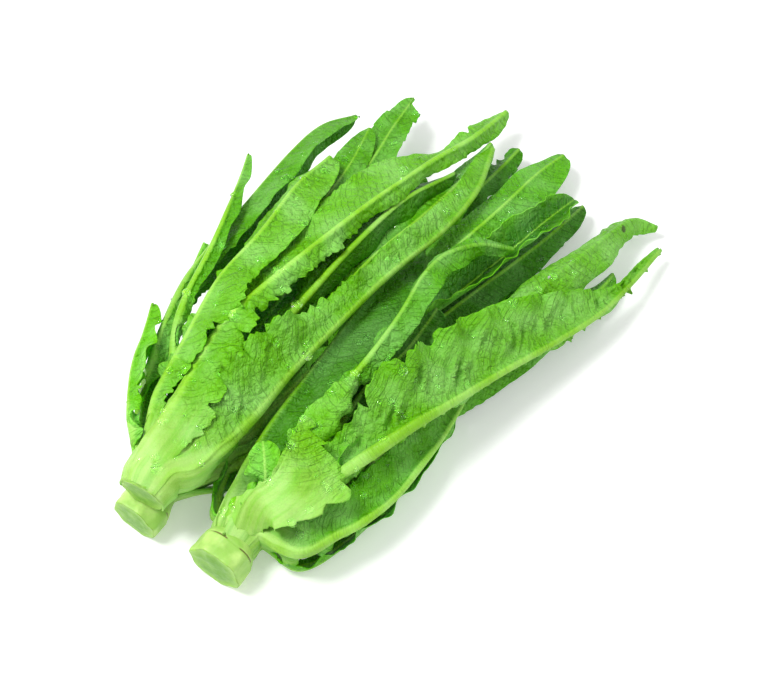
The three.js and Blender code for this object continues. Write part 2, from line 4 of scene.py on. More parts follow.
import bpy
import numpy as np
from bpy.props import FloatProperty, FloatVectorProperty, IntProperty, PointerProperty
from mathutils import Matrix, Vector


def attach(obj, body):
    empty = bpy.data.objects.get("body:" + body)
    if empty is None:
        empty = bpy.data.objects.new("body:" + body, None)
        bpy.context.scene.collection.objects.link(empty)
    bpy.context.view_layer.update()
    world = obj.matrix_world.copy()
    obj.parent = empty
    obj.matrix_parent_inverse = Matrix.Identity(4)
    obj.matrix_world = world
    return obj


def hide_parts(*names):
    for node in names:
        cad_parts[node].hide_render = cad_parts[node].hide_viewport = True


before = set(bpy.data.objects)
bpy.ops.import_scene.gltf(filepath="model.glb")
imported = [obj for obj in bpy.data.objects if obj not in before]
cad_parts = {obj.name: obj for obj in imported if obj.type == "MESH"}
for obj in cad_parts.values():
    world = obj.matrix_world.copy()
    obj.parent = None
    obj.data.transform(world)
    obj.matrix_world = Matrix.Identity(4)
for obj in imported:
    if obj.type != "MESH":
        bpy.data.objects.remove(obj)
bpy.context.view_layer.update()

bl_info = {
    "name": "Leafy Greens Bunch",
    "version": (1, 0, 0),
    "blender": (4, 5, 0),
    "location": "3D View > Sidebar > Greens",
    "description": "Three heads of long-leaved greens with cut stems, veined leaves and water drops",
    "category": "Object",
}

# Lengths below are in millimetres, as in the part's source
MM = 0.001

# Heads: centre of the cut, direction of the stem and its radius at the cut
HEADS = {
    "a": {"cut": (-167, -8, 41), "axis": (0.98, 0.21, 0.08), "radius": 13.8},
    "b": {"cut": (-172, -3, 13.5), "axis": (0.99, 0.12, 0), "radius": 14.5},
    "c": {"cut": (-164, -56, 15.7), "axis": (0.98, 0.17, 0.03), "radius": 16.5},
}

# Stem outline: distances from the cut and the share of the radius lost between them
SHOULDER = {"start": 10, "end": 22, "loss": 0.24}
TAPER = {"start": 18, "end": 62, "loss": 0.5}
STEM_LENGTH = 60

# Leaves from the table up. A leaf leaves its stem at an angle (degrees, 0 on top, positive to
# the left) and a distance from the cut, and its midrib follows the route. Turn is how far its
# back leans to the left at even steps. Left and right are half widths, fold the bend of each
# half at the midrib and curl the bend across it. Foot is how far a leaf's foot stands off the
# stem, less than zero where it grows out of it, and off the room left for leaves under it.
LEAVES = [
    {
        "name": "leaf_b1",
        "from": (150, 16),
        "route": [(-113, -13, 8), (-34, -11, 5), (48, -14, 4), (110, -7, 4)],
        "turn": [175, 180, 180], "left": 13, "right": 13, "fold": (0, 0), "curl": (8, 8),
        "base": 8, "rib": 1.5, "plain": True,
    },
    {
        "name": "leaf_b2",
        "from": (115, 18),
        "route": [(-121, 13, 10), (-44, 34, 7), (19, 47, 7), (65, 57, 6)],
        "turn": [150, 180, 180], "left": 13, "right": 13, "fold": (0, 0), "curl": (8, 8),
        "base": 8, "rib": 1.5, "plain": True,
    },
    {
        "name": "leaf_b3",
        "from": (-115, 16),
        "route": [(-91, -42, 8), (-13, -45, 6), (52, -57, 6), (97, -64, 5)],
        "turn": [-150, -180, -180], "left": 13, "right": 13, "fold": (0, 0), "curl": (8, 8),
        "base": 8, "rib": 1.5, "plain": True,
    },
    {
        "name": "leaf_c1",
        "from": (150, 18),
        "route": [(-105, -56, 10), (-35, -50, 7), (26, -49, 6), (81, -51, 5)],
        "turn": [175, 180, 180], "left": 13, "right": 13, "fold": (0, 0), "curl": (8, 8),
        "base": 8, "rib": 1.5, "plain": True,
    },
    {
        "name": "leaf_c2",
        "from": (-125, 14),
        "route": [(-131, -86, 7), (-106, -94, 7), (-75, -95, 7), (-49, -92, 7), (-27, -88, 7),
            (-1, -83, 6)],
        "turn": [-130, -150, -165], "left": 12, "right": 13, "fold": (5, 5), "curl": (20, 20),
        "base": 9, "rib": 2,
    },
    {
        "name": "leaf_c3",
        "from": (110, 14),
        "route": [(-139, -33, 18), (-103, -15, 14), (-49, -2, 9), (5, 9, 8)],
        "turn": [110, 150, 170], "left": 15, "right": 13, "fold": (0, 0), "curl": (10, 10),
        "teeth": 5,
    },
    {
        "name": "leaf_b4",
        "from": (-75, 18),
        "route": [(-76, -35, 14), (2, -39, 14), (65, -45, 14), (113, -50, 14), (154, -50, 10)],
        "turn": [-20, -10, 0], "left": 12, "right": 13, "fold": (10, 10), "curl": (20, 20),
        "teeth": 5,
    },
    {
        "name": "leaf_b5",
        "from": (85, 20),
        "route": [(-114, 5, 16), (-33, 5, 14), (48, 2, 14), (102, 2, 14), (139, 3, 14),
            (160, 5, 12)],
        "turn": [60, 20, 0], "left": 13, "right": 13, "fold": (10, 10), "curl": (30, 30),
        "wave": 3, "teeth": 5,
    },
    {
        "name": "leaf_b6",
        "from": (60, 26),
        "route": [(-120, -3, 22), (-52, 10, 20), (6, 18, 18), (81, 31, 14), (107, 34, 10)],
        "turn": [30, 10, 0], "left": 13, "right": 13, "base": 8, "fold": (5, 5), "curl": (20, 20),
        "teeth": 5,
    },
    {
        "name": "leaf_b7",
        "from": (-50, 28),
        "route": [(-111, -16, 20), (-39, -16, 22), (24, -20, 26), (66, -21, 28), (111, -21, 26),
            (147, -18, 20), (174, -18, 14)],
        "turn": [-10, 0, 0], "left": [8, 10, 12, 14, 14, 14, 13, 11, 4],
        "right": [8, 10, 14, 18, 20, 20, 20, 17, 5], "fold": (5, 0), "curl": (15, 10),
    },
    {
        "name": "leaf_b8",
        "from": (-85, 32),
        "route": [(-75, -35, 22), (-8, -33, 24), (43, -41, 26), (82, -45, 28), (121, -46, 26),
            (149, -46, 20)],
        "turn": [-150, -175, -180], "left": 16, "right": 17, "base": 8,
        "fold": ([25, 45, 45, 30, 10], 25), "curl": (45, 40),
    },
    {
        "name": "leaf_c4",
        "from": (-85, 28),
        "route": [(-84, -73, 14), (-27, -80, 14), (32, -88, 16), (79, -93, 16), (111, -96, 14),
            (127, -94, 12)],
        "turn": [-40, -20, 0], "left": 10, "right": 11, "base": 8, "fold": (10, 10),
        "curl": (20, 20), "teeth": 5,
    },
    {
        "name": "leaf_c5",
        "from": (-25, 40),
        "route": [(-71, -61, 26), (-14, -69, 30), (21, -74, 36), (59, -79, 40), (97, -80, 36),
            (140, -80, 26), (162, -81, 18), (172, -91, 10)],
        "turn": [-10, 0, 0], "left": [8, 10, 12, 16, 19, 19, 17, 10, 3],
        "right": [8, 10, 12, 16, 19, 20, 18, 11, 3], "fold": (12, 15), "curl": (55, 55),
    },
    {
        "name": "leaf_c6",
        "from": (15, 48),
        "route": [(-73, -56, 34), (-35, -50, 38), (-8, -52, 40), (25, -47, 42)],
        "turn": [0, 0, 0], "left": 13, "right": 14, "base": 8, "fold": (5, 5), "curl": (20, 20),
        "wave": 5, "waves": 9, "teeth": 5,
    },
    {
        "name": "leaf_c7",
        "from": (-60, 13),
        "route": [(-131, -87, 28), (-111, -95, 27), (-93, -100, 23), (-67, -101, 18),
            (-38, -97, 14), (-11, -91, 12), (13, -85, 10)],
        "turn": [-60, -60, -40], "left": [17, 16, 20, 22, 20, 16, 3],
        "right": [17, 13, 16, 14, 12, 8, 3], "fold": (10, 20), "curl": (25, 40), "rib": 5,
    },
    {
        "name": "leaf_c8",
        "from": (10, 46),
        "route": [(-95, -61, 40), (-80, -60, 44), (-67, -59, 46)],
        "turn": [0, 0, 0], "left": 12, "right": 14, "base": 8, "fold": (0, 0), "curl": (20, 20),
        "wave": 3, "teeth": 5,
    },
    {
        "name": "leaf_c9",
        "from": (-15, 32),
        "route": [(-113, -75, 36), (-88, -80, 38), (-52, -87, 40), (-17, -93, 40), (19, -98, 36),
            (55, -104, 30), (94, -109, 24), (127, -107, 18), (159, -103, 12)],
        "turn": [-25, -20, -10], "left": [8, 12, 22, 38, 37, 34, 22, 5, 2],
        "right": [8, 12, 18, 8, 8, 8, 7, 4, 2], "fold": (-8, 60), "curl": (-5, 40), "rib": 4,
        "jag": 4,
    },
    {
        "name": "leaf_c10",
        "from": (48, 13),
        "route": [(-97, -33, 40), (-54, -25, 42), (-15, -17, 40), (24, -8, 34), (58, -1, 26)],
        "turn": [35, 20, 10], "left": [15, 10, 9, 9, 10, 10, 8, 3],
        "right": [15, 12, 14, 20, 24, 22, 16, 3], "fold": (10, 5), "curl": (40, 10), "rib": 5,
    },
    {
        "name": "leaf_c11",
        "from": (20, 40),
        "route": [(-93, -52, 44), (-60, -48, 50), (-29, -46, 56), (-1, -42, 60), (27, -35, 62),
            (47, -34, 60), (69, -40, 52), (86, -51, 40)],
        "turn": [20, 40, -20], "left": 8, "right": 11, "base": 8, "fold": (10, 40),
        "curl": (30, 30), "rib": 2,
    },
    {
        "name": "leaf_c14",
        "from": (0, 30),
        "route": [(-98, -56, 42), (-80, -54, 46), (-62, -54, 50), (-46, -50, 50)],
        "turn": [0, -10, -20], "left": 11, "right": 15, "base": 8, "fold": (0, 20),
        "curl": (20, 70), "rib": 1, "wave": 3, "teeth": 5,
    },
    {
        "name": "leaf_c12",
        "from": (10, 18),
        "route": [(-122, -54, 45), (-115, -49, 53), (-107, -40, 57)],
        "off": 6, "turn": [40, 25, 15], "left": [9, 6, 6, 10, 12, 9, 3],
        "right": [9, 6, 6, 10, 12, 9, 3], "fold": (0, 0), "curl": (-10, -10), "base": 10, "rib": 1,
        "teeth": 5,
    },
    {
        "name": "leaf_c13",
        "from": (-8, 15),
        "route": [(-119, -59, 41), (-101, -55, 50), (-82, -46, 55)],
        "off": 2.6, "turn": [-20, -25, -20], "left": [5, 7, 6, 5, 4, 3, 3, 3, 3, 3, 3, 2, 1],
        "right": [5, 8, 13, 18, 22, 25, 32, 38, 34, 27, 18, 9, 1], "fold": (5, -10),
        "curl": (5, 5), "rib": 1, "jag": 4, "teeth": 7, "wave": 2,
    },
    {
        "name": "leaf_a1",
        "from": (120, 14),
        "route": [(-80, 64, 28), (-47, 78, 28), (-23, 89, 28)],
        "turn": [80, 60, 40], "left": 8, "right": 13, "fold": (20, 20), "curl": (20, 20),
    },
    {
        "name": "leaf_a2",
        "from": (105, 1),
        "route": [(-128, 33, 34), (-95, 52, 34), (-59, 68, 36), (-28, 76, 38), (7, 83, 38),
            (54, 93, 34), (85, 97, 28), (109, 92, 20)],
        "foot": 1, "turn": [80, 75, 70], "left": 20, "right": 15, "fold": (25, 30),
        "curl": (35, 35),
    },
    {
        "name": "leaf_a3",
        "from": (90, 28),
        "route": [(-83, 49, 36), (-33, 70, 38), (-4, 85, 40), (21, 100, 36), (36, 110, 32)],
        "turn": [60, 60, 60], "left": 6, "right": 7, "base": 8, "fold": (20, 20), "curl": (15, 15),
    },
    {
        "name": "leaf_a4",
        "from": (135, 1),
        "route": [(-141, 25, 38), (-120, 45, 42), (-98, 59, 42), (-80, 71, 42)],
        "foot": 2, "off": 3.5, "turn": [90, 80, 60], "left": 10, "right": 10, "fold": (20, 20),
        "curl": (20, 20), "wave": 3, "teeth": 5,
    },
    {
        "name": "leaf_a5",
        "from": (55, 36),
        "route": [(-61, 31, 40), (-3, 40, 38), (49, 49, 34), (86, 57, 30), (113, 66, 26),
            (142, 74, 22)],
        "turn": [0, 0, 0], "left": 14, "right": 14, "base": 8, "fold": (0, 0), "curl": (-20, -20),
        "teeth": 5,
    },
    {
        "name": "leaf_a6",
        "from": (70, 30),
        "route": [(-50, 42, 36), (5, 48, 36), (40, 53, 34), (70, 61, 30), (102, 74, 24)],
        "turn": [20, 5, 0], "left": 14, "right": 12, "base": 8, "fold": (0, 0), "curl": (10, 10),
        "teeth": 5,
    },
    {
        "name": "leaf_a7",
        "from": (-75, 18),
        "route": [(-91, -5, 30), (-40, -2, 34), (15, 3, 36), (68, 4, 34), (112, 8, 28),
            (146, 16, 22)],
        "turn": [-30, -20, 0], "left": 12, "right": 12, "fold": (10, 10), "curl": (30, 30),
    },
    {
        "name": "leaf_a8",
        "from": (-15, 26),
        "route": [(-109, -2, 50), (-72, 2, 52), (-32, 7, 52), (14, 12, 50), (65, 16, 42),
            (108, 12, 30)],
        "turn": [-15, -10, 0], "left": 12, "right": 12, "base": 8, "fold": (15, 40),
        "curl": (30, 30),
    },
    {
        "name": "leaf_a9",
        "from": (-50, 0),
        "route": [(-136, -21, 48), (-99, -21, 50), (-61, -17, 52), (-18, -14, 48), (30, -12, 42),
            (67, -12, 36), (105, -6, 28), (139, 10, 22)],
        "foot": 1, "turn": [-50, -45, -30], "left": [18, 22, 34, 24, 14, 14, 14, 12, 3],
        "right": [18, 14, 12, 12, 12, 12, 12, 10, 3], "fold": (-15, 45), "curl": (45, 40),
        "rib": 5, "jag": 3.5,
    },
    {
        "name": "leaf_a10",
        "from": (35, 0),
        "route": [(-125, 8, 58), (-79, 19, 62), (-30, 21, 62), (29, 22, 56), (84, 22, 44),
            (134, 22, 30), (171, 25, 20)],
        "foot": 1, "turn": [20, 5, 0], "left": [16, 14, 14, 16, 19, 22, 25, 27, 27, 24, 9, 10, 3],
        "right": [14, 18, 22, 20, 11, 9, 9, 9, 9, 9, 7, 9, 3], "fold": (0, [0, 5, 25, 45, 45, 30]),
        "curl": (10, 40), "rib": 5,
    },
    {
        "name": "leaf_a11",
        "from": (75, 10),
        "route": [(-123, 23, 50), (-92, 31, 56), (-52, 44, 60), (-13, 51, 60), (29, 64, 52),
            (63, 70, 42)],
        "turn": [25, 10, 5], "left": [14, 12, 15, 10, 12, 13, 12, 6],
        "right": [14, 10, 12, 20, 16, 19, 16, 6], "fold": (30, 5), "curl": (20, 10),
    },
]

# What a leaf has unless its entry says otherwise
USUAL = {
    "base": 12, "rib": 3, "wave": 2, "waves": 6, "jag": 2.5, "teeth": 7, "foot": -2.5, "off": 0,
}

# Shares of the fullest half width at even steps from the stem to the tip
OUTLINE = (0.42, 0.45, 0.6, 0.9, 1, 1, 0.78, 0.1)

# The solids under this dressing: rows and places across, so that both are laid alike
WIDE_COLUMNS = (-1, -0.55, -0.2, 0, 0.2, 0.55, 1)
SLIM_COLUMNS = (-1, -0.3, 0, 0.3, 1)
PLAIN_COLUMNS = (-1, 0, 1)
WIDE_FROM = 20.5  # half width from which a solid has the wide columns
CURL_FROM = 50  # and the curl from which it has them
PLAIN_ROWS = 13
MIDRIB_STEPS = 800  # steps in which the length of a midrib is measured
SOLID_BLADE = 1.0  # thickness of a solid's blade
LAY_GAP = 0.5  # room left under a leaf when it is laid
TABLE_GAP = 0.2  # lowest point of a leaf
LIFT_START = 0.05  # share of a leaf's length up to which it isn't lifted
LIFT_ROUNDS = 40  # how often a leaf's lift is smoothed
LIFT_FADE = 0.97  # share of the lift that one smoothing passes on
LIFT_STEEP = 0.8  # most that the lift changes for each step across a leaf
RIB_WIDTH_BASE = 6  # half width of the midrib where it leaves the stem
RIB_WIDTH_TIP = 1.8  # half width of the midrib at the tip
SHEATH_START = 0.04  # share of a leaf's length up to which its base hugs the stem
SHEATH_END = 0.3  # and where it stops hugging it
SHEATH_GAP = 2  # gap between the stem and the curl of the base round it
LEAST_WIDTH = 0.5  # least half width, at the tip
LEAST_BEND = 1e-3  # a flat half counts as curled this much
HUG = 14  # length along which a leaf's base follows its stem
HUG_GAP = 1.5  # distance from the stem to a leaf's middle at the end of that length
FLESH = 1.2  # how much thicker a leaf is at its foot
CELL = 2.5  # size of a square cell of the table
FIELD_CORNER = (-230, -180)
FIELD_SHAPE = (180, 140)

# How each leaf looks. Tone picks its material. Frill is the ruffle of the margin in mm, which
# fades between two shares of the length, tip frill the one near the tip, nick the depth of small
# teeth, quilt the bulge between side veins, buckle the puckers of a blade, up to buckle end, a
# share of the length, flare how far a low margin curls up, calm the share of all ruffling on the
# left and right half, rib show how clear the midrib's colour is, pale the length of the pale
# base in mm and bruise a dark spot: share of the length, mm off the midrib, radius. Tears are
# notches of the margin: side (0 left, 1 right), share of the length, depth, width.
# A tone's colours carry painted light and painted shade as well as the leaf's own green, as the tones
# further down say.
PLAIN_LOOK = {
    "tone": "mid", "frill": 1.2, "fade": (0.38, 0.7), "tip_frill": 0, "nick": 1.6, "quilt": 0.35,
    "buckle": 0, "buckle_end": 2, "flare": 0, "calm": (1, 1), "rib_show": 1, "pale": 0,
    "bruise": (0, 0, 1), "tears": (),
}
LOOKS = {
    "leaf_a10": {
        "tone": "outer", "frill": 3.8, "nick": 3.4, "quilt": 0.3, "flare": 1.4,
        "buckle": 3.2, "buckle_end": 0.3,
        "tears": (
            (1, 0.155, 7, 4), (1, 0.2, 9, 4), (1, 0.235, 6, 3), (1, 0.28, 10, 4), (1, 0.33, 6, 4),
            (0, 0.3, 4, 2), (0, 0.9, 5, 5),
        ),
    },
    "leaf_a9": {
        "tone": "outer", "frill": 5.2, "nick": 3.4, "quilt": 0.35, "flare": 1.2,
        "buckle": 2.4, "buckle_end": 0.3,
        "tears": ((0, 0.2, 8, 3), (0, 0.245, 6, 2), (0, 0.29, 9, 3), (0, 0.34, 5, 2)),
    },
    "leaf_a8": {"tone": "inner", "quilt": 0.4},
    "leaf_a11": {
        "tone": "outer", "frill": 3.6, "nick": 3.2, "quilt": 0.3, "flare": 1.8,
        "tears": ((0, 0.2, 6, 3), (0, 0.3, 5, 2), (1, 0.26, 7, 3), (1, 0.36, 6, 2)),
    },
    "leaf_a2": {"tone": "mid", "frill": 2.2, "nick": 1.6},
    "leaf_a4": {
        "tone": "bright", "frill": 3.2, "nick": 3.0,
        "tears": ((0, 0.4, 5, 3), (0, 0.62, 5, 3), (1, 0.5, 5, 3)),
    },
    "leaf_a1": {"tone": "bright", "frill": 2.6, "nick": 2.4},
    "leaf_a5": {"tone": "mid", "frill": 1.4, "tip_frill": 3, "tears": ((1, 0.975, 5, 6),)},
    "leaf_b4": {"tone": "inner", "frill": 1.6, "tip_frill": 2},
    "leaf_b5": {"tone": "inner", "frill": 1.6, "tip_frill": 5},
    "leaf_b7": {"tone": "mid", "frill": 0.8, "nick": 0.5, "quilt": 0.5},
    "leaf_b8": {"tone": "rolled", "frill": 1.8, "fade": (0.8, 1), "tip_frill": 1.5, "nick": 0.5},
    "leaf_c5": {
        "tone": "outer", "frill": 0.8, "tip_frill": 1.5, "nick": 0.5, "quilt": 0.5, "rib_show": 0.3,
        "bruise": (0.905, -2, 2.3), "tears": ((0, 0.93, 3, 2),),
    },
    "leaf_c7": {
        "tone": "mid", "frill": 3.2, "nick": 3.0, "quilt": 0.3, "pale": 75,
        "tears": ((1, 0.36, 6, 3), (1, 0.45, 6, 3), (0, 0.4, 5, 3)),
    },
    "leaf_c9": {
        "tone": "outer", "frill": 5.5, "fade": (0.68, 0.85), "nick": 2.4, "quilt": 0.6, "buckle": 4.2,
        "calm": (1, 0.15),
        "tears": ((0, 0.31, 7, 3), (0, 0.4, 5, 3), (0, 0.47, 6, 3)),
    },
    # This leaf lies in the shade of leaf_a9: its inner tone and its dimmed midrib colour are painted
    # shade.
    "leaf_c10": {"tone": "inner", "frill": 2.4, "nick": 1.8, "quilt": 0.5, "rib_show": 0.5},
    "leaf_c11": {"tone": "mid", "frill": 2.2, "nick": 1.4, "rib_show": 0.7},
    "leaf_c12": {"tone": "bright", "frill": 2.6, "nick": 3.0, "tears": ((0, 0.6, 5, 3),)},
    "leaf_c13": {
        "tone": "young", "frill": 1.4, "nick": 3.0, "quilt": 0.4, "buckle": 0.8, "rib_show": 0.4,
        "pale": 88,
        "tears": ((1, 0.9, 5, 2.5), (1, 0.8, 7, 3), (1, 0.7, 4, 2), (1, 0.64, 6, 2.5), (1, 0.5, 3, 2)),
    },
    "leaf_c14": {"tone": "outer", "frill": 3.4, "nick": 3.0, "quilt": 0.5, "rib_show": 0.3},
    "leaf_c8": {"tone": "bright", "frill": 6.0, "fade": (0.8, 1), "nick": 3.0, "quilt": 0.6},
    "leaf_c6": {
        "tone": "inner", "frill": 7.0, "fade": (0.8, 1), "nick": 3.0, "quilt": 0.8, "buckle": 2.0,
    },
    "leaf_c2": {"tone": "mid", "frill": 2.6, "nick": 2.2},
}

# Fine leaves
ROW_STEP = 1.4  # distance between rows of a fine leaf
PLAIN_ROW_STEP = 5
PLAIN_PLACES = 13  # places across a plain leaf
LEAST_PLACES = 11  # places across half a fine leaf, and one more for each step of its width
PLACE_STEP = 3
PLACES_CROWD = 1.25  # how much closer places lie at the midrib
LAST_PLACE = 0.965  # the place just inside the margin
COARSE_SHARE = 0.8  # how far the solid's coarse teeth show
TOOTH_PITCH = (3.5, 9.0)  # shortest and longest small tooth
FIRST_TOOTH = (0.5, 1)  # shallowest and deepest first tooth, as a share of the nick
TOOTH_DEPTH = (0.45, 1.15)  # and the same for the others
TOOTH_PEAK = 0.78  # where in its pitch a tooth is deepest
TOOTH_MEAN = 0.45  # depth of a tooth at which the margin keeps its place
TEAR_SHIFT = 0.4  # a tear's deepest place lies this share of its width further on
BASE_SHARE = 0.26  # share of a leaf's length that pales towards the stem
BASE_REACH = 40  # and the least length of it
FOOT_LENGTH = 9  # a leaf's foot thins out over this length
FOOT_LOSS = 0.6  # by this share
FOOT_SINK = 1.8  # and sinks this far into the stem it grows from
MARGIN_LOSS = 0.45  # share of a blade's thickness lost at its margin
INNER_FLESH = 1.3  # how much thicker a foot is on its inner side
RIDGE_PITCH = 8.5  # distance between the fleshy ridges of a leaf's base
RIDGE_HEIGHT = 0.8
RIDGE_REACH = 16  # how far from the midrib they are found
RUFFLE_REACH = 7  # distance from the midrib where ruffles and bulges are full
RUFFLE_ACROSS = 0.3  # how slowly a ruffle changes across the blade
FRILL_LOSS = 0.75  # share of the low frill that is lost further up
VEIN_PITCH = 4.8  # distance between side veins along the midrib
FOLD_PITCH = 12.0  # distance between the large puckers of a blade
VEIN_LEAN = 0.42  # how far a side vein runs forward for each step outward
VEIN_BEND = 0.018  # and how much it bends forward
RIB_SHOWN = 0.62  # share of the midrib's width that has its colour
RIB_TAPER = 0.6  # share of the midrib's height lost towards the tip
RIB_AT_FOOT = 0.25  # share of its height that it has at the foot
MAP_UNIT = 100  # length of one unit of the leaf map

# Shares of a leaf's length between which something begins, weakens or ends
COARSE_TEETH = {"begin": (0.1, 0.16), "weaken": (0.35, 0.6), "end": (0.9, 1)}
SMALL_TEETH = {"begin": (0.05, 0.12), "weaken": (0.4, 0.66), "end": (0.93, 1)}
BLADE_OPENS = (0.08, 0.22)
WAVE_WEAKENS = (0.75, 1)
RIB_RISES = (0, 0.14)
RIB_NARROWS = (0, 0.6)
FLESH_ENDS = (0, 0.2)
INNER_FLESH_ENDS = (0, 0.1)
RIDGES_BEGIN = (0.01, 0.06)
RIDGES_END = (0.1, 0.3)
FLARE_BEGINS = (0.1, 0.17)
FLARE_ENDS = (0.34, 0.46)
TIP_FRILL_BEGINS = (0.8, 0.93)
BUCKLE_FADE = 0.15

# Share of the teeth lost where they weaken, and the half width below which they are lower
COARSE_TEETH_LOSS = 0.75
COARSE_TEETH_NARROW = 8
SMALL_TEETH_LOSS = 0.88
SMALL_TEETH_NARROW = 6

# Size of the bumps in the unevenness of each thing
UNEVEN = {
    "coarse ruffle": 17, "tight ruffle": 7.5, "flare": 24, "veins": 40, "quilt": 12,
    "pucker ends": 16, "pucker path": 20, "pucker depth": 24, "folds": 26, "waver": 38,
    "ridge path": 30, "ridge height": 25,
}


def ease(start, end, x):
    """Share of the way from start to end at x, slow at both ends."""
    share = np.clip((np.asarray(x, float) - start) / (end - start), 0, 1)
    return share * share * (3 - 2 * share)


def blend(keys, t):
    """Values at t between evenly spaced keys, easing from one to the next."""
    keys = np.asarray(keys, float)
    place = np.clip(t, 0, 1) * (len(keys) - 1)
    i = np.minimum(place.astype(int), len(keys) - 2)
    share = ease(0, 1, place - i)
    return keys[i] * (1 - share) + keys[i + 1] * share


def cubic(before, here, after, beyond):
    """Twice the slope, bend and twist of the smooth curve from here to after."""
    return (
        after - before,
        2 * before - 5 * here + 4 * after - beyond,
        3 * here - before - 3 * after + beyond,
    )


def outline(keys, t):
    """Half width from evenly spaced keys. The last step rounds off to the tip."""
    keys = np.asarray(keys, float)
    place = np.clip(t, 0, 1) * (len(keys) - 1)
    i = np.minimum(place.astype(int), len(keys) - 2)
    f = place - i
    padded = np.concatenate([keys[:1], keys, keys[-1:]])
    before, here, after, beyond = (padded[i + k] for k in range(4))
    slope, bend, twist = cubic(before, here, after, beyond)
    smooth = here + slope / 2 * f + bend / 2 * f**2 + twist / 2 * f**3
    rounded = here * np.sqrt(np.clip(1 - f**2 * (1 - (after / here) ** 2), 0, 1))
    return np.where(i == len(keys) - 2, rounded, smooth)


def head_frame(head):
    """Directions along a head's stem, to its left and up from it."""
    along = np.array(head["axis"], float)
    along /= np.linalg.norm(along)
    left = np.cross([0, 0, 1], along)
    left /= np.linalg.norm(left)
    return along, left, np.cross(along, left)


def stem_radius(head, rise):
    """Radius of a head's stem at a distance from its cut."""
    shoulder = SHOULDER["loss"] * ease(SHOULDER["start"], SHOULDER["end"], rise)
    taper = TAPER["loss"] * ease(TAPER["start"], TAPER["end"], rise)
    return head["radius"] * (1 - shoulder - taper)


def midrib(leaf, head, t):
    """Places and directions at t along the midrib, and its length."""
    along, left, up = head_frame(head)
    angle, rise = math.radians(leaf["from"][0]), leaf["from"][1]
    radial = up * math.cos(angle) + left * math.sin(angle)
    points = []
    for onward, gap in ((0, leaf["foot"]), (HUG, HUG_GAP + leaf["off"])):
        radius = stem_radius(head, rise + onward) + gap
        points.append(np.array(head["cut"]) + along * (rise + onward) + radial * radius)
    points = np.array(points + [np.array(point, float) for point in leaf["route"]])
    padded = np.vstack([2 * points[0] - points[1], points, 2 * points[-1] - points[-2]])

    def curve(u):
        i = np.minimum(u.astype(int), len(points) - 2)
        f = (u - i)[:, None]
        before, here, after, beyond = (padded[i + k] for k in range(4))
        slope, bend, twist = cubic(before, here, after, beyond)
        place = here + (slope * f + bend * f**2 + twist * f**3) / 2
        return place, slope + 2 * bend * f + 3 * twist * f**2

    dense = np.linspace(0, len(points) - 1, MIDRIB_STEPS + 1)
    steps = np.linalg.norm(np.diff(curve(dense)[0], axis=0), axis=1)
    run = np.concatenate([[0], np.cumsum(steps)])
    place, direction = curve(np.interp(t * run[-1], run, dense))
    return place, direction / np.linalg.norm(direction, axis=1)[:, None], run[-1]


def teeth_fade(teeth, loss, t):
    """How far teeth stand out at t: not at all at the stem and at the tip."""
    weaker = 1 - loss * ease(*teeth["weaken"], t)
    return ease(*teeth["begin"], t) * weaker * (1 - ease(*teeth["end"], t))


def solid_half_width(leaf, side, t):
    """Half width of the solid, with its coarse teeth."""
    width = outline(leaf["right" if side else "left"], t)
    # the teeth of one side stand half a pitch on from those of the other
    place = t * leaf["teeth"] + 0.25 + 0.5 * side
    saw = place - np.floor(place) - 0.5
    fade = teeth_fade(COARSE_TEETH, COARSE_TEETH_LOSS, t)
    room = np.clip(width / COARSE_TEETH_NARROW, 0, 1)
    return np.maximum(LEAST_WIDTH, width + 2 * leaf["jag"] * saw * fade * room)


def fine_half_width(leaf, look, side, t, length, draw):
    """Half width of the fine leaf: the solid's coarse teeth, smoothed, with small ones on them."""
    keys = leaf["right" if side else "left"]
    coarse_t = np.linspace(0, 1, 2 * leaf["teeth"] + 1)
    coarse = solid_half_width(leaf, side, coarse_t) - outline(keys, coarse_t)
    width = outline(keys, t) + COARSE_SHARE * np.interp(t, coarse_t, coarse)
    marks = [0.0]
    depths = [draw.uniform(*FIRST_TOOTH)]
    while marks[-1] < length:
        marks.append(marks[-1] + draw.uniform(*TOOTH_PITCH))
        depths.append(draw.uniform(*TOOTH_DEPTH))
    run = t * length
    i = np.clip(np.searchsorted(marks, run, side="right") - 1, 0, len(marks) - 2)
    marks, depths = np.array(marks), np.array(depths)
    share = (run - marks[i]) / (marks[i + 1] - marks[i])
    falling = (1 - share) / (1 - TOOTH_PEAK)
    tooth = depths[i] * np.where(share < TOOTH_PEAK, share / TOOTH_PEAK, falling)
    fade = teeth_fade(SMALL_TEETH, SMALL_TEETH_LOSS, t)
    room = np.clip(width / SMALL_TEETH_NARROW, 0, 1)
    width = width + look["nick"] * fade * (tooth - TOOTH_MEAN) * room
    for torn, place, depth, spread in look["tears"]:
        if torn == side:
            beyond = np.abs(run - place * length - TEAR_SHIFT * spread) / spread
            width = width - depth * np.clip(1 - beyond, 0, 1)
    return np.maximum(LEAST_WIDTH, width)


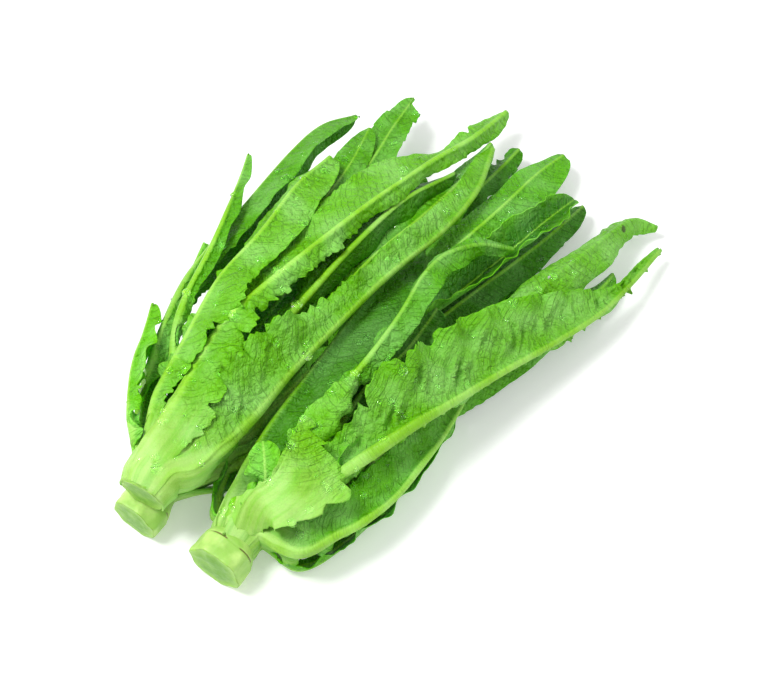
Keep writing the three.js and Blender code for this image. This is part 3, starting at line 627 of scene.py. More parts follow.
def middle_surface(leaf, head, t, across, widths):
    """Middle surface, its normals, the distance from the midrib and the leaf's length."""
    centre, along, length = midrib(leaf, head, t)
    up = np.array([0, 0, 1.0]) - along[:, 2:3] * along
    up /= np.linalg.norm(up, axis=1)[:, None]
    left = np.cross(up, along)
    roll = np.radians(blend([leaf["from"][0], *leaf["turn"]], t))[:, None]
    back = up * np.cos(roll) + left * np.sin(roll)
    aside = left * np.cos(roll) - up * np.sin(roll)
    free = ease(SHEATH_START, SHEATH_END, t)[:, None]
    side = (across < 0).astype(int)[None, :]
    sign = np.where(across < 0, -1.0, 1.0)[None, :]
    out = np.abs(across)[None, :]
    width = np.where(side, widths[1][:, None], widths[0][:, None])
    # each half bends at the midrib and curls across, round the stem near the foot
    folds = [blend(fold, t) if np.ndim(fold) else np.full(t.shape, fold) for fold in leaf["fold"]]
    start = np.radians(np.where(side, folds[1][:, None], folds[0][:, None])) * free
    bend = np.radians(np.where(side, leaf["curl"][1], leaf["curl"][0])) * free
    bend = bend + width / (head["radius"] + SHEATH_GAP) * (1 - free)
    bend = np.where(np.abs(bend) < LEAST_BEND, LEAST_BEND, bend)
    end = start + bend * out
    reach = width / bend * (np.sin(end) - np.sin(start))
    drop = width / bend * (np.cos(start) - np.cos(end))
    normal = back[:, None] * np.cos(end)[..., None]
    normal = normal + aside[:, None] * (sign * np.sin(end))[..., None]
    points = centre[:, None] + aside[:, None] * (sign * reach)[..., None]
    points = points - back[:, None] * drop[..., None]
    # the margins wave, each side in its own step, by two sines of unlike pace
    phase = np.where(side, 1.7, 0.0)
    turn = 2 * math.pi * leaf["waves"] * t[:, None]
    height = leaf["wave"] * out**2.2 * ease(*BLADE_OPENS, t)[:, None]
    height = height * (1 - 0.6 * ease(*WAVE_WEAKENS, t)[:, None])
    wave = 0.7 * np.sin(turn + phase) + 0.5 * np.sin(1.3 * turn + 2.1 * phase + 1)
    points = points + normal * (height * wave)[..., None]
    return points, normal, width * out, length


def rib_width(t):
    """Half width of the midrib at t."""
    return RIB_WIDTH_TIP + (RIB_WIDTH_BASE - RIB_WIDTH_TIP) * (1 - ease(*RIB_NARROWS, t))


def rib_height(leaf, t, away):
    """Height of the back above the blade: the midrib, which rises from the fleshy foot."""
    risen = RIB_AT_FOOT + (1 - RIB_AT_FOOT) * ease(*RIB_RISES, t)
    rise = leaf["rib"] * (1 - RIB_TAPER * t) * risen
    return rise * np.exp(-((away / rib_width(t)) ** 2)) + FLESH * (1 - ease(*FLESH_ENDS, t))


class TableTop:
    """Height of everything laid so far, in square cells of the table."""

    def __init__(self):
        self.top = np.zeros(FIELD_SHAPE)

    def cells(self, points):
        """The cell that each point is over."""
        return tuple(
            np.clip(((points[..., k] - FIELD_CORNER[k]) // CELL).astype(int), 0, FIELD_SHAPE[k] - 1)
            for k in (0, 1)
        )

    def height(self, points):
        return self.top[self.cells(points)]

    def lay(self, grid):
        points = patch_points(grid)
        i, j = self.cells(points)
        np.maximum.at(self.top, (i.ravel(), j.ravel()), points[..., 2].ravel())


def patch_points(grid, steps=4):
    """Points inside each patch of a grid."""
    shares = (np.arange(steps) + 0.5) / steps
    a, b, c, d = grid[:-1, :-1], grid[1:, :-1], grid[:-1, 1:], grid[1:, 1:]
    return np.stack(
        [
            a * (1 - u) * (1 - v) + b * u * (1 - v) + c * (1 - u) * v + d * u * v
            for u in shares
            for v in shares
        ],
        2,
    )


def grid_normals(points):
    """Normals of a grid of points, each from the points next to it."""
    rows = np.concatenate([points[:1], points, points[-1:]])
    along = rows[2:] - rows[:-2]
    columns = np.concatenate([points[:, :1], points, points[:, -1:]], 1)
    across = columns[:, 2:] - columns[:, :-2]
    normals = np.cross(along, across)
    length = np.linalg.norm(normals, axis=2, keepdims=True)
    return normals / np.maximum(length, 1e-9)


def lift_over(table, points, faces, t):
    """How far each point of a solid's grid rises to clear what is already laid."""
    need = np.zeros(tuple(n - 1 for n in faces[0].shape[:2]))
    for face in faces:
        inside = patch_points(face)
        need = np.maximum(need, (table.height(inside) + LAY_GAP - inside[..., 2]).max(2))
    rows, columns = faces[0].shape[:2]
    want = np.zeros((rows, columns))
    for i in (0, 1):
        for j in (0, 1):
            corner = want[i : rows - 1 + i, j : columns - 1 + j]
            np.maximum(corner, need, out=corner)
    free = ease(LIFT_START, SHEATH_END, t)[:, None]
    want = want * free
    lift = want
    slack = LIFT_STEEP * np.hypot(*np.diff(points, axis=1)[..., :2].transpose(2, 0, 1))
    for _ in range(LIFT_ROUNDS):
        edge = np.pad(lift, 1, mode="edge")
        around = (edge[:-2, 1:-1] + edge[2:, 1:-1] + edge[1:-1, :-2] + edge[1:-1, 2:]) / 4
        held = np.zeros(lift.shape)
        held[:, 1:] = np.maximum(held[:, 1:], lift[:, :-1] - slack)
        held[:, :-1] = np.maximum(held[:, :-1], lift[:, 1:] - slack)
        lift = np.maximum(want, np.maximum(around * LIFT_FADE * free, held * np.sqrt(free)))
    return lift


def smooth_between(marks, values, x):
    """Smooth curve through values (rows) at marks, read at x."""
    marks = np.asarray(marks, float)
    slopes = np.gradient(values, marks, axis=0)
    i = np.clip(np.searchsorted(marks, x, side="right") - 1, 0, len(marks) - 2)
    step = (marks[i + 1] - marks[i])[:, None]
    f = ((x - marks[i]) / (marks[i + 1] - marks[i]))[:, None]
    a, b = values[i], values[i + 1]
    sa, sb = slopes[i] * step, slopes[i + 1] * step
    return (
        a * (1 + 2 * f) * (1 - f) ** 2
        + sa * f * (1 - f) ** 2
        + b * f**2 * (3 - 2 * f)
        - sb * f**2 * (1 - f)
    )


def ripple(x, y, size, draw, parts=7):
    """Smooth unevenness between about -1 and 1, with bumps of the given size."""
    total = np.zeros(np.broadcast(x, y).shape)
    for _ in range(parts):
        heading = draw.uniform(0, 2 * math.pi)
        pace = 2 * math.pi / size * draw.uniform(0.6, 1.5)
        total += np.sin(
            pace * (x * math.cos(heading) + y * math.sin(heading)) + draw.uniform(0, 2 * math.pi)
        )
    return total / math.sqrt(parts) / 1.3


def full_entry(entry):
    """A leaf's entry with what it leaves out, and half widths at even steps."""
    leaf = {**USUAL, **entry}
    for side in ("left", "right"):
        if not isinstance(leaf[side], list):
            leaf[side] = [leaf["base"]] + [share * leaf[side] for share in OUTLINE]
    return leaf


def solid_columns(leaf):
    """Places across a leaf's solid."""
    if leaf.get("plain"):
        return PLAIN_COLUMNS
    widest = max(leaf["left"] + leaf["right"])
    broad = widest > WIDE_FROM or max(leaf["curl"]) > CURL_FROM
    return WIDE_COLUMNS if broad else SLIM_COLUMNS


def fine_columns(leaf):
    """Places across a fine leaf, closer at the midrib and at the margins."""
    if leaf.get("plain"):
        return np.linspace(-1, 1, PLAIN_PLACES)
    sides = []
    for key in ("right", "left"):
        count = LEAST_PLACES + int(max(leaf[key]) / PLACE_STEP)
        inner = np.linspace(0, 1, count)[1:-1] ** PLACES_CROWD
        sides.append(np.concatenate([inner, [LAST_PLACE, 1]]))
    return np.concatenate([-sides[0][::-1], [0], sides[1]])


def solid_faces(points, normals, rib):
    """Back and inner face of a leaf's solid."""
    back = points + normals * (SOLID_BLADE / 2 + rib)[..., None]
    return back, points - normals * SOLID_BLADE / 2


def lay_solid(leaf, head, table):
    """Lays a leaf's solid as the part's source does. Returns the places along and across its
    grid, how far each point of it is lifted and the leaf's length."""
    rows = PLAIN_ROWS if leaf.get("plain") else 2 * leaf["teeth"] + 1
    t = np.linspace(0, 1, rows)
    across = np.array(solid_columns(leaf), float)
    widths = [solid_half_width(leaf, side, t) for side in (0, 1)]
    points, normals, away, length = middle_surface(leaf, head, t, across, widths)
    rib = rib_height(leaf, t[:, None], away)
    lift = lift_over(table, points, solid_faces(points, normals, rib), t)
    points[..., 2] = np.maximum(points[..., 2] + lift, SOLID_BLADE / 2 + TABLE_GAP)
    for face in solid_faces(points, grid_normals(points), rib):
        table.lay(face)
    return t, across, lift, length


class LeafPlaces:
    """Where each point of a fine leaf's grid lies on it, in shares and in millimetres."""

    def __init__(self, t, across, away, length):
        self.t = t[:, None]
        self.run = self.t * length
        self.right = (across < 0)[None, :]
        self.out = np.abs(across)[None, :]
        self.away = away
        self.signed = away * np.where(self.right, -1, 1)
        self.rim = np.clip(self.out, 0, 1) ** 3
        self.open_blade = ease(*BLADE_OPENS, self.t)
        self.beside_rib = 1 - np.exp(-((away / RUFFLE_REACH) ** 2))
        self.foot = 1 - ease(0, FOOT_LENGTH, self.run)

    def uneven(self, what, draw):
        """Unevenness of one thing over the whole leaf."""
        return ripple(self.run, self.signed, UNEVEN[what], draw)


def margin_ruffle(at, look, strength, draw):
    """The margin ruffles, most of all low on the leaf, and curls away from what is under it."""
    low = look["frill"] * (1 - FRILL_LOSS * ease(*look["fade"], at.t))
    low = low + look["tip_frill"] * ease(*TIP_FRILL_BEGINS, at.t)
    reach = np.clip(at.away / RUFFLE_REACH, 0, 1)
    stretched = at.signed * RUFFLE_ACROSS
    coarse = at.out**2.5 * ripple(at.run, stretched, UNEVEN["coarse ruffle"], draw)
    tight = at.rim**2 * ripple(at.run, stretched, UNEVEN["tight ruffle"], draw)
    calm = np.where(at.right, look["calm"][1], look["calm"][0])
    frill = strength * low * calm * at.open_blade * reach * (0.8 * coarse + 0.5 * tight)
    raised = ease(*FLARE_BEGINS, at.t) * (1 - ease(*FLARE_ENDS, at.t))
    uneven = 1 + 0.5 * ripple(at.run, 0, UNEVEN["flare"], draw)
    return frill + look["flare"] * raised * reach * at.out**3 * uneven


def blade_quilt(at, look, settings, draw):
    """The blade bulges between its side veins and puckers across them."""
    forward = at.run - VEIN_LEAN * at.away - VEIN_BEND * at.away**2
    forward = forward + 2.5 * at.uneven("veins", draw)
    bulge = np.abs(np.sin(math.pi * forward / (2 * VEIN_PITCH))) ** 0.8
    quilt = -settings.quilting * look["quilt"] * (bulge - 0.5) * at.beside_rib * at.open_blade
    quilt = quilt * (1 - 0.5 * at.rim) * (1 + 0.4 * at.uneven("quilt", draw))
    # puckers are ridges beside the midrib that end unevenly before the margin
    ends = 0.62 + 0.2 * ripple(at.run, 0, UNEVEN["pucker ends"], draw)
    bent = forward + 3.5 * at.uneven("pucker path", draw)
    pucker = np.abs(np.sin(math.pi * bent / FOLD_PITCH)) ** 0.7 - 0.55
    pucker = pucker * ease(0.1, 0.3, at.out) * (1 - ease(ends - 0.1, ends + 0.12, at.out))
    pucker = pucker * np.clip(0.8 + 0.8 * at.uneven("pucker depth", draw), 0.1, 1.8)
    slanted = 0.8 * at.run - 0.5 * at.away
    folds = ripple(slanted, 0.35 * at.signed, UNEVEN["folds"], draw) * ease(3, 14, at.away)
    low_end = look["buckle_end"]
    buckle = look["buckle"] * (1 - ease(low_end, low_end + BUCKLE_FADE, at.t))
    return quilt - settings.frill * buckle * (pucker - 0.4 * folds) * at.open_blade


def fine_faces(leaf, at, points, normals, blade, draw):
    """Back and inner face of a fine leaf, with its midrib and the ridges of its fleshy base."""
    thin = blade * (1 - MARGIN_LOSS * at.rim)
    rib = rib_height(leaf, at.t, at.away)
    fleshy = ease(*RIDGES_BEGIN, at.t) * (1 - ease(*RIDGES_END, at.t))
    fleshy = fleshy * np.exp(-((at.away / RIDGE_REACH) ** 2))
    bend = 1.2 * at.uneven("ridge path", draw)
    ridge = np.cos(2 * math.pi * at.signed / RIDGE_PITCH + bend)
    uneven = 0.7 + 0.3 * at.uneven("ridge height", draw)
    rib = rib + RIDGE_HEIGHT * fleshy * ridge * uneven
    inner_flesh = INNER_FLESH * (1 - ease(*INNER_FLESH_ENDS, at.t)) * (1 - 0.5 * at.rim)
    thinned = 1 - FOOT_LOSS * at.foot
    back = points + normals * (thinned * (thin / 2 + rib))[..., None]
    face = points - normals * (thinned * (thin / 2 + inner_flesh))[..., None]
    for grid in (back, face):
        grid[..., 2] = np.maximum(grid[..., 2], TABLE_GAP)
    return back, face


def leaf_fields(look, at, length, draw):
    """Masks that the leaf's material reads: where its parts and its bruise are."""
    pale_reach = max(BASE_SHARE * length, BASE_REACH, look["pale"])
    spoiled, off_midrib, radius = look["bruise"]
    from_bruise = np.hypot(at.run - spoiled * length, at.signed - off_midrib)
    near_rib = np.exp(-((at.away / (rib_width(at.t) * RIB_SHOWN)) ** 2))
    return {
        "rib": near_rib * (1 - RIB_TAPER * at.t) * look["rib_show"],
        "rim": at.out,
        "base": 1 - ease(0, pale_reach, at.run),
        "tone": draw.uniform(-1, 1),
        "bruise": (spoiled > 0) * np.exp(-((from_bruise / radius) ** 2)),
    }


def leaf_form(entry, look, table, settings):
    """Vertices, faces, fields and map of one fine leaf, laid on what is under it."""
    leaf = full_entry(entry)
    head = HEADS[leaf["name"][len("leaf_")]]
    draw = random.Random(leaf["name"])
    solid_t, solid_across, lift, length = lay_solid(leaf, head, table)

    step = PLAIN_ROW_STEP if leaf.get("plain") else ROW_STEP
    t = np.linspace(0, 1, int(length / step) + 2)
    across = fine_columns(leaf)
    widths = [fine_half_width(leaf, look, side, t, length, draw) for side in (0, 1)]
    points, _, away, _ = middle_surface(leaf, head, t, across, widths)
    at = LeafPlaces(t, across, away, length)
    # its foot isn't lifted but bends down to the stem it grows from
    fine_lift = smooth_between(solid_t, lift, t)
    fine_lift = smooth_between(solid_across, fine_lift.T, across).T
    points[..., 2] += np.maximum(fine_lift, 0) * (1 - at.foot)
    normals = grid_normals(points)
    raised = margin_ruffle(at, look, settings.frill, draw)
    raised = raised + blade_quilt(at, look, settings, draw)
    raised = raised + 0.5 * at.uneven("waver", draw) * at.open_blade * at.beside_rib
    points = points + normals * (raised - FOOT_SINK * at.foot)[..., None]
    faces = fine_faces(leaf, at, points, normals, settings.blade / MM, draw)

    fields = {
        name: np.tile(np.broadcast_to(values, away.shape).ravel(), 2)
        for name, values in leaf_fields(look, at, length, draw).items()
    }
    fields["back"] = np.repeat([1.0, 0.0], away.size)
    leaf_map = np.stack([np.broadcast_to(at.run, away.shape), at.signed], -1) / MAP_UNIT
    vertices = np.concatenate([face.reshape(-1, 3) for face in faces])
    return vertices, sheet_faces(*away.shape), fields, np.tile(leaf_map.reshape(-1, 2), (2, 1))


def sheet_faces(rows, columns):
    """Faces of a closed sheet: its back, its inner face and the rim between them."""
    index = np.arange(rows * columns).reshape(rows, columns)
    a, b, c, d = index[:-1, :-1], index[1:, :-1], index[1:, 1:], index[:-1, 1:]
    back = np.stack([a, b, c, d], -1).reshape(-1, 4)
    face = np.stack([a, d, c, b], -1).reshape(-1, 4) + rows * columns
    edge = np.concatenate([index[:, 0], index[-1, 1:], index[-2::-1, -1], index[0, -2:0:-1]])
    after = np.roll(edge, -1)
    rim = np.stack([after, edge, edge + rows * columns, after + rows * columns], -1)
    return np.concatenate([back, face, rim]).tolist()


def add_piece(name, vertices, faces, material, node=None, fields=None, leaf_map=None):
    """A smooth mesh in metres that rides on the bunch and may replace a node."""
    mesh = bpy.data.meshes.new(name)
    mesh.from_pydata(np.asarray(vertices).tolist(), [], faces)
    mesh.polygons.foreach_set("use_smooth", [True] * len(mesh.polygons))
    for field, values in (fields or {}).items():
        layer = mesh.attributes.new(field, "FLOAT", "POINT")
        layer.data.foreach_set("value", np.asarray(values, np.float32))
    if leaf_map is not None:
        corners = np.zeros(len(mesh.loops), np.int32)
        mesh.loops.foreach_get("vertex_index", corners)
        layer = mesh.uv_layers.new(name="leaf_map")
        layer.data.foreach_set("uv", np.asarray(leaf_map, np.float32)[corners].ravel())
    mesh.materials.append(material)
    if mesh.validate():
        raise RuntimeError(f"{name} had faces that had to be mended")
    piece = bpy.data.objects.new(name, mesh)
    bpy.context.scene.collection.objects.link(piece)
    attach(piece, "root")
    if node:
        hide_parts(node)


# Materials


class Signal:
    """What a shader node puts out. Signals are added, multiplied and so on like numbers."""

    def __init__(self, node, output=0):
        self.tree = node.id_data
        self.output = node.outputs[output]

    def __add__(self, other):
        return maths("ADD", self, other)

    def __sub__(self, other):
        return maths("SUBTRACT", self, other)

    def __rsub__(self, other):
        return maths("SUBTRACT", other, self)

    def __mul__(self, other):
        return maths("MULTIPLY", self, other)

    def __truediv__(self, other):
        return maths("DIVIDE", self, other)

    def __pow__(self, other):
        return maths("POWER", self, other)

    def __abs__(self):
        return maths("ABSOLUTE", self)


def connect(node, inputs):
    """Sets a node's inputs to plain values, or links them to signals."""
    for place, value in inputs.items():
        if isinstance(value, Signal):
            value.tree.links.new(value.output, node.inputs[place])
        else:
            node.inputs[place].default_value = value


def new_node(tree, kind, inputs=None, **settings):
    """A new shader node with its settings made and its inputs connected."""
    node = tree.nodes.new("ShaderNode" + kind)
    for name, value in settings.items():
        setattr(node, name, value)
    connect(node, inputs or {})
    return node


def maths(operation, *values):
    """A sum, product or the like of signals and numbers."""
    tree = next(value.tree for value in values if isinstance(value, Signal))
    return Signal(new_node(tree, "Math", dict(enumerate(values)), operation=operation))


def ramp(value, low, high, start=0.0, end=1.0):
    """A signal taken smoothly from start at low to end at high."""
    inputs = {"Value": value, "From Min": low, "From Max": high, "To Min": start, "To Max": end}
    node = new_node(value.tree, "MapRange", inputs, interpolation_type="SMOOTHSTEP")
    return Signal(node, "Result")


def mixed(share, first, second):
    """A colour between two others."""
    node = new_node(share.tree, "Mix", {0: share, 6: first, 7: second}, data_type="RGBA")
    return Signal(node, 2)


def noise(where, scale, detail=2.0, output="Fac"):
    """Soft unevenness from 0 to 1, or a colour of three such."""
    inputs = {"Vector": where, "Scale": scale, "Detail": detail}
    return Signal(new_node(where.tree, "TexNoise", inputs), output)


def cells(where, scale, feature, output="Distance"):
    """Distances within a pattern of cells, or a random colour for each cell."""
    node = new_node(where.tree, "TexVoronoi", {"Vector": where, "Scale": scale}, feature=feature)
    return Signal(node, output)


def vector(x, y, z):
    return Signal(new_node(x.tree, "CombineXYZ", {0: x, 1: y, 2: z}))


def vector_maths(operation, first, inputs):
    node = new_node(first.tree, "VectorMath", {0: first, **inputs}, operation=operation)
    return Signal(node)


def attribute(tree, name):
    """One of the fields of a piece."""
    return Signal(new_node(tree, "Attribute", attribute_name=name), "Fac")


def surface_place(tree):
    """Place on a piece, in metres."""
    return Signal(new_node(tree, "TexCoord"), "Object")


def bump(height, strength, distance):
    """The normal of a surface with a height of its own."""
    inputs = {"Strength": strength, "Distance": distance, "Height": height}
    return Signal(new_node(height.tree, "Bump", inputs))


def new_material(name):
    """A material, its tree and its shader."""
    material = bpy.data.materials.new(name)
    material.use_nodes = True
    tree = material.node_tree
    return material, tree, tree.nodes["Principled BSDF"]


def new_group(name, inputs, outputs):
    """A node group with named sockets. Returns it, its inputs as signals and its output node."""
    group = bpy.data.node_groups.new(name, "ShaderNodeTree")
    for way, sockets in (("INPUT", inputs), ("OUTPUT", outputs)):
        for label, kind in sockets.items():
            group.interface.new_socket(name=label, in_out=way, socket_type="NodeSocket" + kind)
    entry = group.nodes.new("NodeGroupInput")
    given = {label: Signal(entry, label) for label in inputs}
    return group, given, group.nodes.new("NodeGroupOutput")


LEAF_INPUTS = {
    "Map": "Vector", "Rib mask": "Float", "Rim": "Float", "Base mask": "Float", "Tone": "Float",
    "Back mask": "Float", "Bruise": "Float", "Inner face": "Color", "Back": "Color",
    "Rib": "Color", "Base": "Color", "Margin": "Color",
}
LEAF_OUTPUTS = {"Color": "Color", "Roughness": "Float", "Height": "Float"}
LEAF_MASKS = {
    "Rib mask": "rib", "Rim": "rim", "Base mask": "base", "Tone": "tone", "Back mask": "back",
    "Bruise": "bruise",
}
TONE_SHIFT = 50.0  # how far one tone of leaf is from the next in its noises
SPECK_COLOUR = (0.05, 0.09, 0.01, 1)


class LeafSignals:
    """Places on a leaf in millimetres, and the noises and fades that its patterns share."""

    def __init__(self, group, given):
        split = new_node(group, "SeparateXYZ", {0: given["Map"]})
        self.signed = Signal(split, 1) * MAP_UNIT
        self.away = abs(self.signed)
        self.own = given["Tone"] * TONE_SHIFT
        along = Signal(split, 0) * MAP_UNIT
        self.spot = vector(along, self.signed, self.own)
        self.sway = noise(self.spot, 0.03)
        self.patches = noise(self.spot, 0.045, 3.0)
        self.grain = noise(self.spot, 1.6, 3.0)
        self.streaks = noise(vector_maths("MULTIPLY", self.spot, {1: (0.02, 0.38, 1)}), 1.0, 3.0)
        self.off_base = ramp(given["Base mask"], 0.25, 0.8, 1.0, 0.0)
        self.off_flesh = ramp(given["Rib mask"], 0.15, 0.55, 1.0, 0.0) * self.off_base
        # counted along the midrib between the side veins, which run forward and outward
        forward = along - self.away * VEIN_LEAN - self.away**2.0 * VEIN_BEND
        self.forward = forward + self.sway * 14.0
        # the same places shifted a little every way, so that no cell has a straight side
        shift = vector_maths("SCALE", noise(self.spot, 0.25, output="Color"), {"Scale": 2.0})
        self.warped = vector_maths("ADD", self.spot, {1: shift})


def leaf_veins(leaf):
    """Side veins and the nets of small veins between them, and how the blade bulges there."""
    beat = maths("PINGPONG", leaf.forward / VEIN_PITCH, 0.5)
    broken = ramp(noise(leaf.spot, 0.11), 0.4, 0.55)
    side_veins = ramp(beat, 0.0, 0.1, 1.0, 0.0) * broken
    wide_cells = cells(leaf.warped, 0.17, "DISTANCE_TO_EDGE")
    fine_cells = cells(leaf.warped, 0.42, "DISTANCE_TO_EDGE")
    net_share = ramp(noise(leaf.spot, 0.05), 0.42, 0.66, 0.0, 0.85)
    wide_net = ramp(wide_cells, 0.0, 0.08, 1.0, 0.0) * net_share
    fine_net = ramp(fine_cells, 0.0, 0.12, 1.0, 0.0) * 0.2
    veins = maths("MAXIMUM", maths("MAXIMUM", side_veins, wide_net), fine_net)
    bulges = ramp(wide_cells, 0.0, 0.4) + ramp(fine_cells, 0.0, 0.4, 0.0, 0.4)
    return veins * leaf.off_flesh, bulges * leaf.off_flesh


def leaf_wrinkles(leaf):
    """Fine wrinkles that run the way the side veins do. They shape the bump and are painted lighter on
    their rises and darker in their hollows: painted light and shade.
    """
    slanted = vector(leaf.forward * 0.75, leaf.signed * 0.09, leaf.own)
    return (noise(slanted, 1.0) - 0.5) * leaf.off_base


def leaf_groove(leaf, base_mask):
    """Grooves along the fleshy base, beside the midrib. They shape the bump and darken the colour
    there as painted shade.
    """
    beside = leaf.signed + (leaf.sway - 0.5) * 6.0
    groove = ramp(abs(beside), 0.1, 1.5, 1.0, 0.0) * ramp(base_mask, 0.05, 0.35)
    return groove * ramp(leaf.streaks, 0.35, 0.6, 1.0, 0.3)


def leaf_specks(leaf, bruise_mask):
    """Small dark specks here and there, and the bruise."""
    specks = ramp(cells(leaf.warped, 0.085, "F1"), 0.02, 0.045, 0.75, 0.0)
    chance = cells(leaf.warped, 0.085, "F1", "Color")
    picked = Signal(new_node(chance.tree, "SeparateColor", {0: chance}))
    specks = specks * ramp(picked, 0.6, 0.62)
    bruise = ramp(bruise_mask - leaf.grain * 0.6, 0.1, 0.3, 0.0, 0.9)
    return maths("MAXIMUM", specks, bruise)


def leaf_pattern():
    """Veins, wrinkles, margins and specks of a leaf, drawn on its own length and width."""
    found = bpy.data.node_groups.get("Leaf pattern")
    if found:
        return found
    group, given, result = new_group("Leaf pattern", LEAF_INPUTS, LEAF_OUTPUTS)
    leaf = LeafSignals(group, given)
    veins, bulges = leaf_veins(leaf)
    wrinkles = leaf_wrinkles(leaf)
    groove = leaf_groove(leaf, given["Base mask"])

    # veins are pale lines on the inner face; on the back they darken the colour further down, which is
    # painted shade in the sunken veins
    back = given["Back mask"]
    colour = mixed(back, given["Inner face"], given["Back"])
    colour = mixed((0.2 - back * 0.2) * veins, colour, given["Rib"])
    soft_margin = ramp(given["Rim"], 0.45, 1.0, 0.0, 0.35)
    margin = maths("MAXIMUM", soft_margin, ramp(given["Rim"], 0.95, 0.99, 0.0, 0.9))
    colour = mixed(margin, colour, given["Margin"])
    rib_share = ramp(given["Rib mask"], 0.12, 0.6) * ramp(leaf.streaks, 0.2, 0.7, 0.75, 1.0)
    colour = mixed(rib_share, colour, given["Rib"])
    base_share = ramp(given["Base mask"], 0.1, 1.0) * 0.95
    base_share = base_share * ramp(leaf.streaks, 0.35, 0.62, 0.4, 1.0)
    colour = mixed(base_share, colour, given["Base"])

    value = ramp(leaf.patches, 0.3, 0.7, 0.9, 1.17) + given["Tone"] * 0.08 * leaf.off_base
    # painted light and shade: wrinkles are lighter on their rises and darker in their hollows
    # painted shade: the back darkens along its sunken side veins and nets
    # painted shade: the fleshy base darkens in its grooves
    value = value - veins * back * 0.32 - groove * 0.13 + wrinkles * 0.2
    value = value + ramp(leaf.grain, 0.2, 0.8, -0.07, 0.07)
    saturation = ramp(leaf.patches, 0.35, 0.7, 1.07, 0.9)
    shading = {"Color": colour, "Value": value, "Saturation": saturation}
    shaded = Signal(new_node(group, "HueSaturation", shading))

    height = bulges * 0.8 - veins * 0.3 + wrinkles
    height = height + leaf.grain * 0.25 + leaf.streaks * 0.12 - groove * 0.7
    connect(result, {
        "Color": mixed(leaf_specks(leaf, given["Bruise"]), shaded, SPECK_COLOUR),
        "Roughness": ramp(leaf.patches, 0.3, 0.7, 0.42, 0.58) - rib_share * 0.1,
        "Height": height,
    })
    return group


# Colours of each tone of leaf, in display values from 0 to 255. Outer, mid and inner step down
# from leaves on top to leaves lying under others: partly their own greens, partly painted light
# and painted shade. Bright is painted light on leaves in full light, and rolled is the outer tone
# with its inner face darkened by painted shade inside the roll.
TONES = {
    "outer": {"Inner face": (88, 176, 0), "Back": (114, 188, 52), "Margin": (116, 204, 30)},
    "mid": {"Inner face": (66, 152, 0), "Back": (96, 174, 38), "Margin": (100, 192, 16)},
    "inner": {"Inner face": (40, 112, 0), "Back": (72, 142, 26), "Margin": (72, 156, 10)},
    "rolled": {"Inner face": (50, 122, 0), "Back": (116, 192, 54), "Margin": (120, 208, 36)},
    "bright": {"Inner face": (94, 196, 0), "Back": (104, 194, 4), "Margin": (124, 214, 4)},
    "young": {"Inner face": (124, 202, 34), "Back": (128, 204, 52), "Margin": (116, 206, 20)},
}


def linear(colour):
    """A display colour from 0 to 255 as the linear one a shader takes."""
    shares = [channel / 255 for channel in colour]
    return tuple(s / 12.92 if s <= 0.04045 else ((s + 0.055) / 1.055) ** 2.4 for s in shares) + (1,)


def leaf_material(tone, settings):
    """Veined leaf of one tone, a little light passing into it. The inner and rolled tones carry
    painted shade, the bright tone painted light, and the outer and mid tones partly painted light and
    shade.
    """
    found = bpy.data.materials.get(f"leaf_{tone}")
    if found:
        return found
    material, tree, shader = new_material(f"leaf_{tone}")
    pattern = new_node(tree, "Group", node_tree=leaf_pattern())
    connect(pattern, {"Map": Signal(new_node(tree, "UVMap", uv_map="leaf_map"))})
    connect(pattern, {label: attribute(tree, mask) for label, mask in LEAF_MASKS.items()})
    connect(pattern, {label: linear(colour) for label, colour in TONES[tone].items()})
    connect(pattern, {"Rib": (*settings.rib, 1), "Base": (*settings.base, 1)})
    connect(shader, {
        "Base Color": Signal(pattern, "Color"),
        "Roughness": Signal(pattern, "Roughness"),
        "Normal": bump(Signal(pattern, "Height"), 1.0, 0.0011),
        "Subsurface Weight": 0.12,
        "Subsurface Radius": (0.4, 1.0, 0.15),
        "Subsurface Scale": 0.0015,
        "Specular IOR Level": 0.3,
    })
    return material


# Colours of a cut stem
SKIN = linear((152, 202, 86))
SKIN_PALE = linear((190, 226, 124))
CUT = linear((106, 164, 36))
CUT_EDGE = linear((150, 200, 76))
SCAR = linear((96, 84, 30))


def stem_material():
    """Pale, fibrous skin of a cut stem, with a darker ring inside its cut face."""
    material, tree, shader = new_material("cut_stem")
    where = surface_place(tree)
    skin = noise(where, 90.0, 4.0)
    fibres = noise(where, 420.0, 3.0)
    face = mixed(ramp(attribute(tree, "ring"), 0.55, 0.98), CUT, CUT_EDGE)
    face = mixed(ramp(skin, 0.45, 0.75, 0.0, 0.6), face, CUT_EDGE)
    colour = mixed(ramp(skin, 0.35, 0.65), SKIN, SKIN_PALE)
    colour = mixed(attribute(tree, "cut"), colour, face)
    scars = attribute(tree, "scar") * ramp(skin, 0.3, 0.46)
    connect(shader, {
        "Base Color": mixed(ramp(scars, 0.25, 0.7, 0.0, 0.85), colour, SCAR),
        "Roughness": ramp(fibres, 0.3, 0.7, 0.38, 0.55),
        "Normal": bump(skin + fibres, 0.5, 0.0005),
        "Subsurface Weight": 0.15,
        "Subsurface Radius": (0.5, 1.0, 0.2),
        "Subsurface Scale": 0.003,
    })
    return material


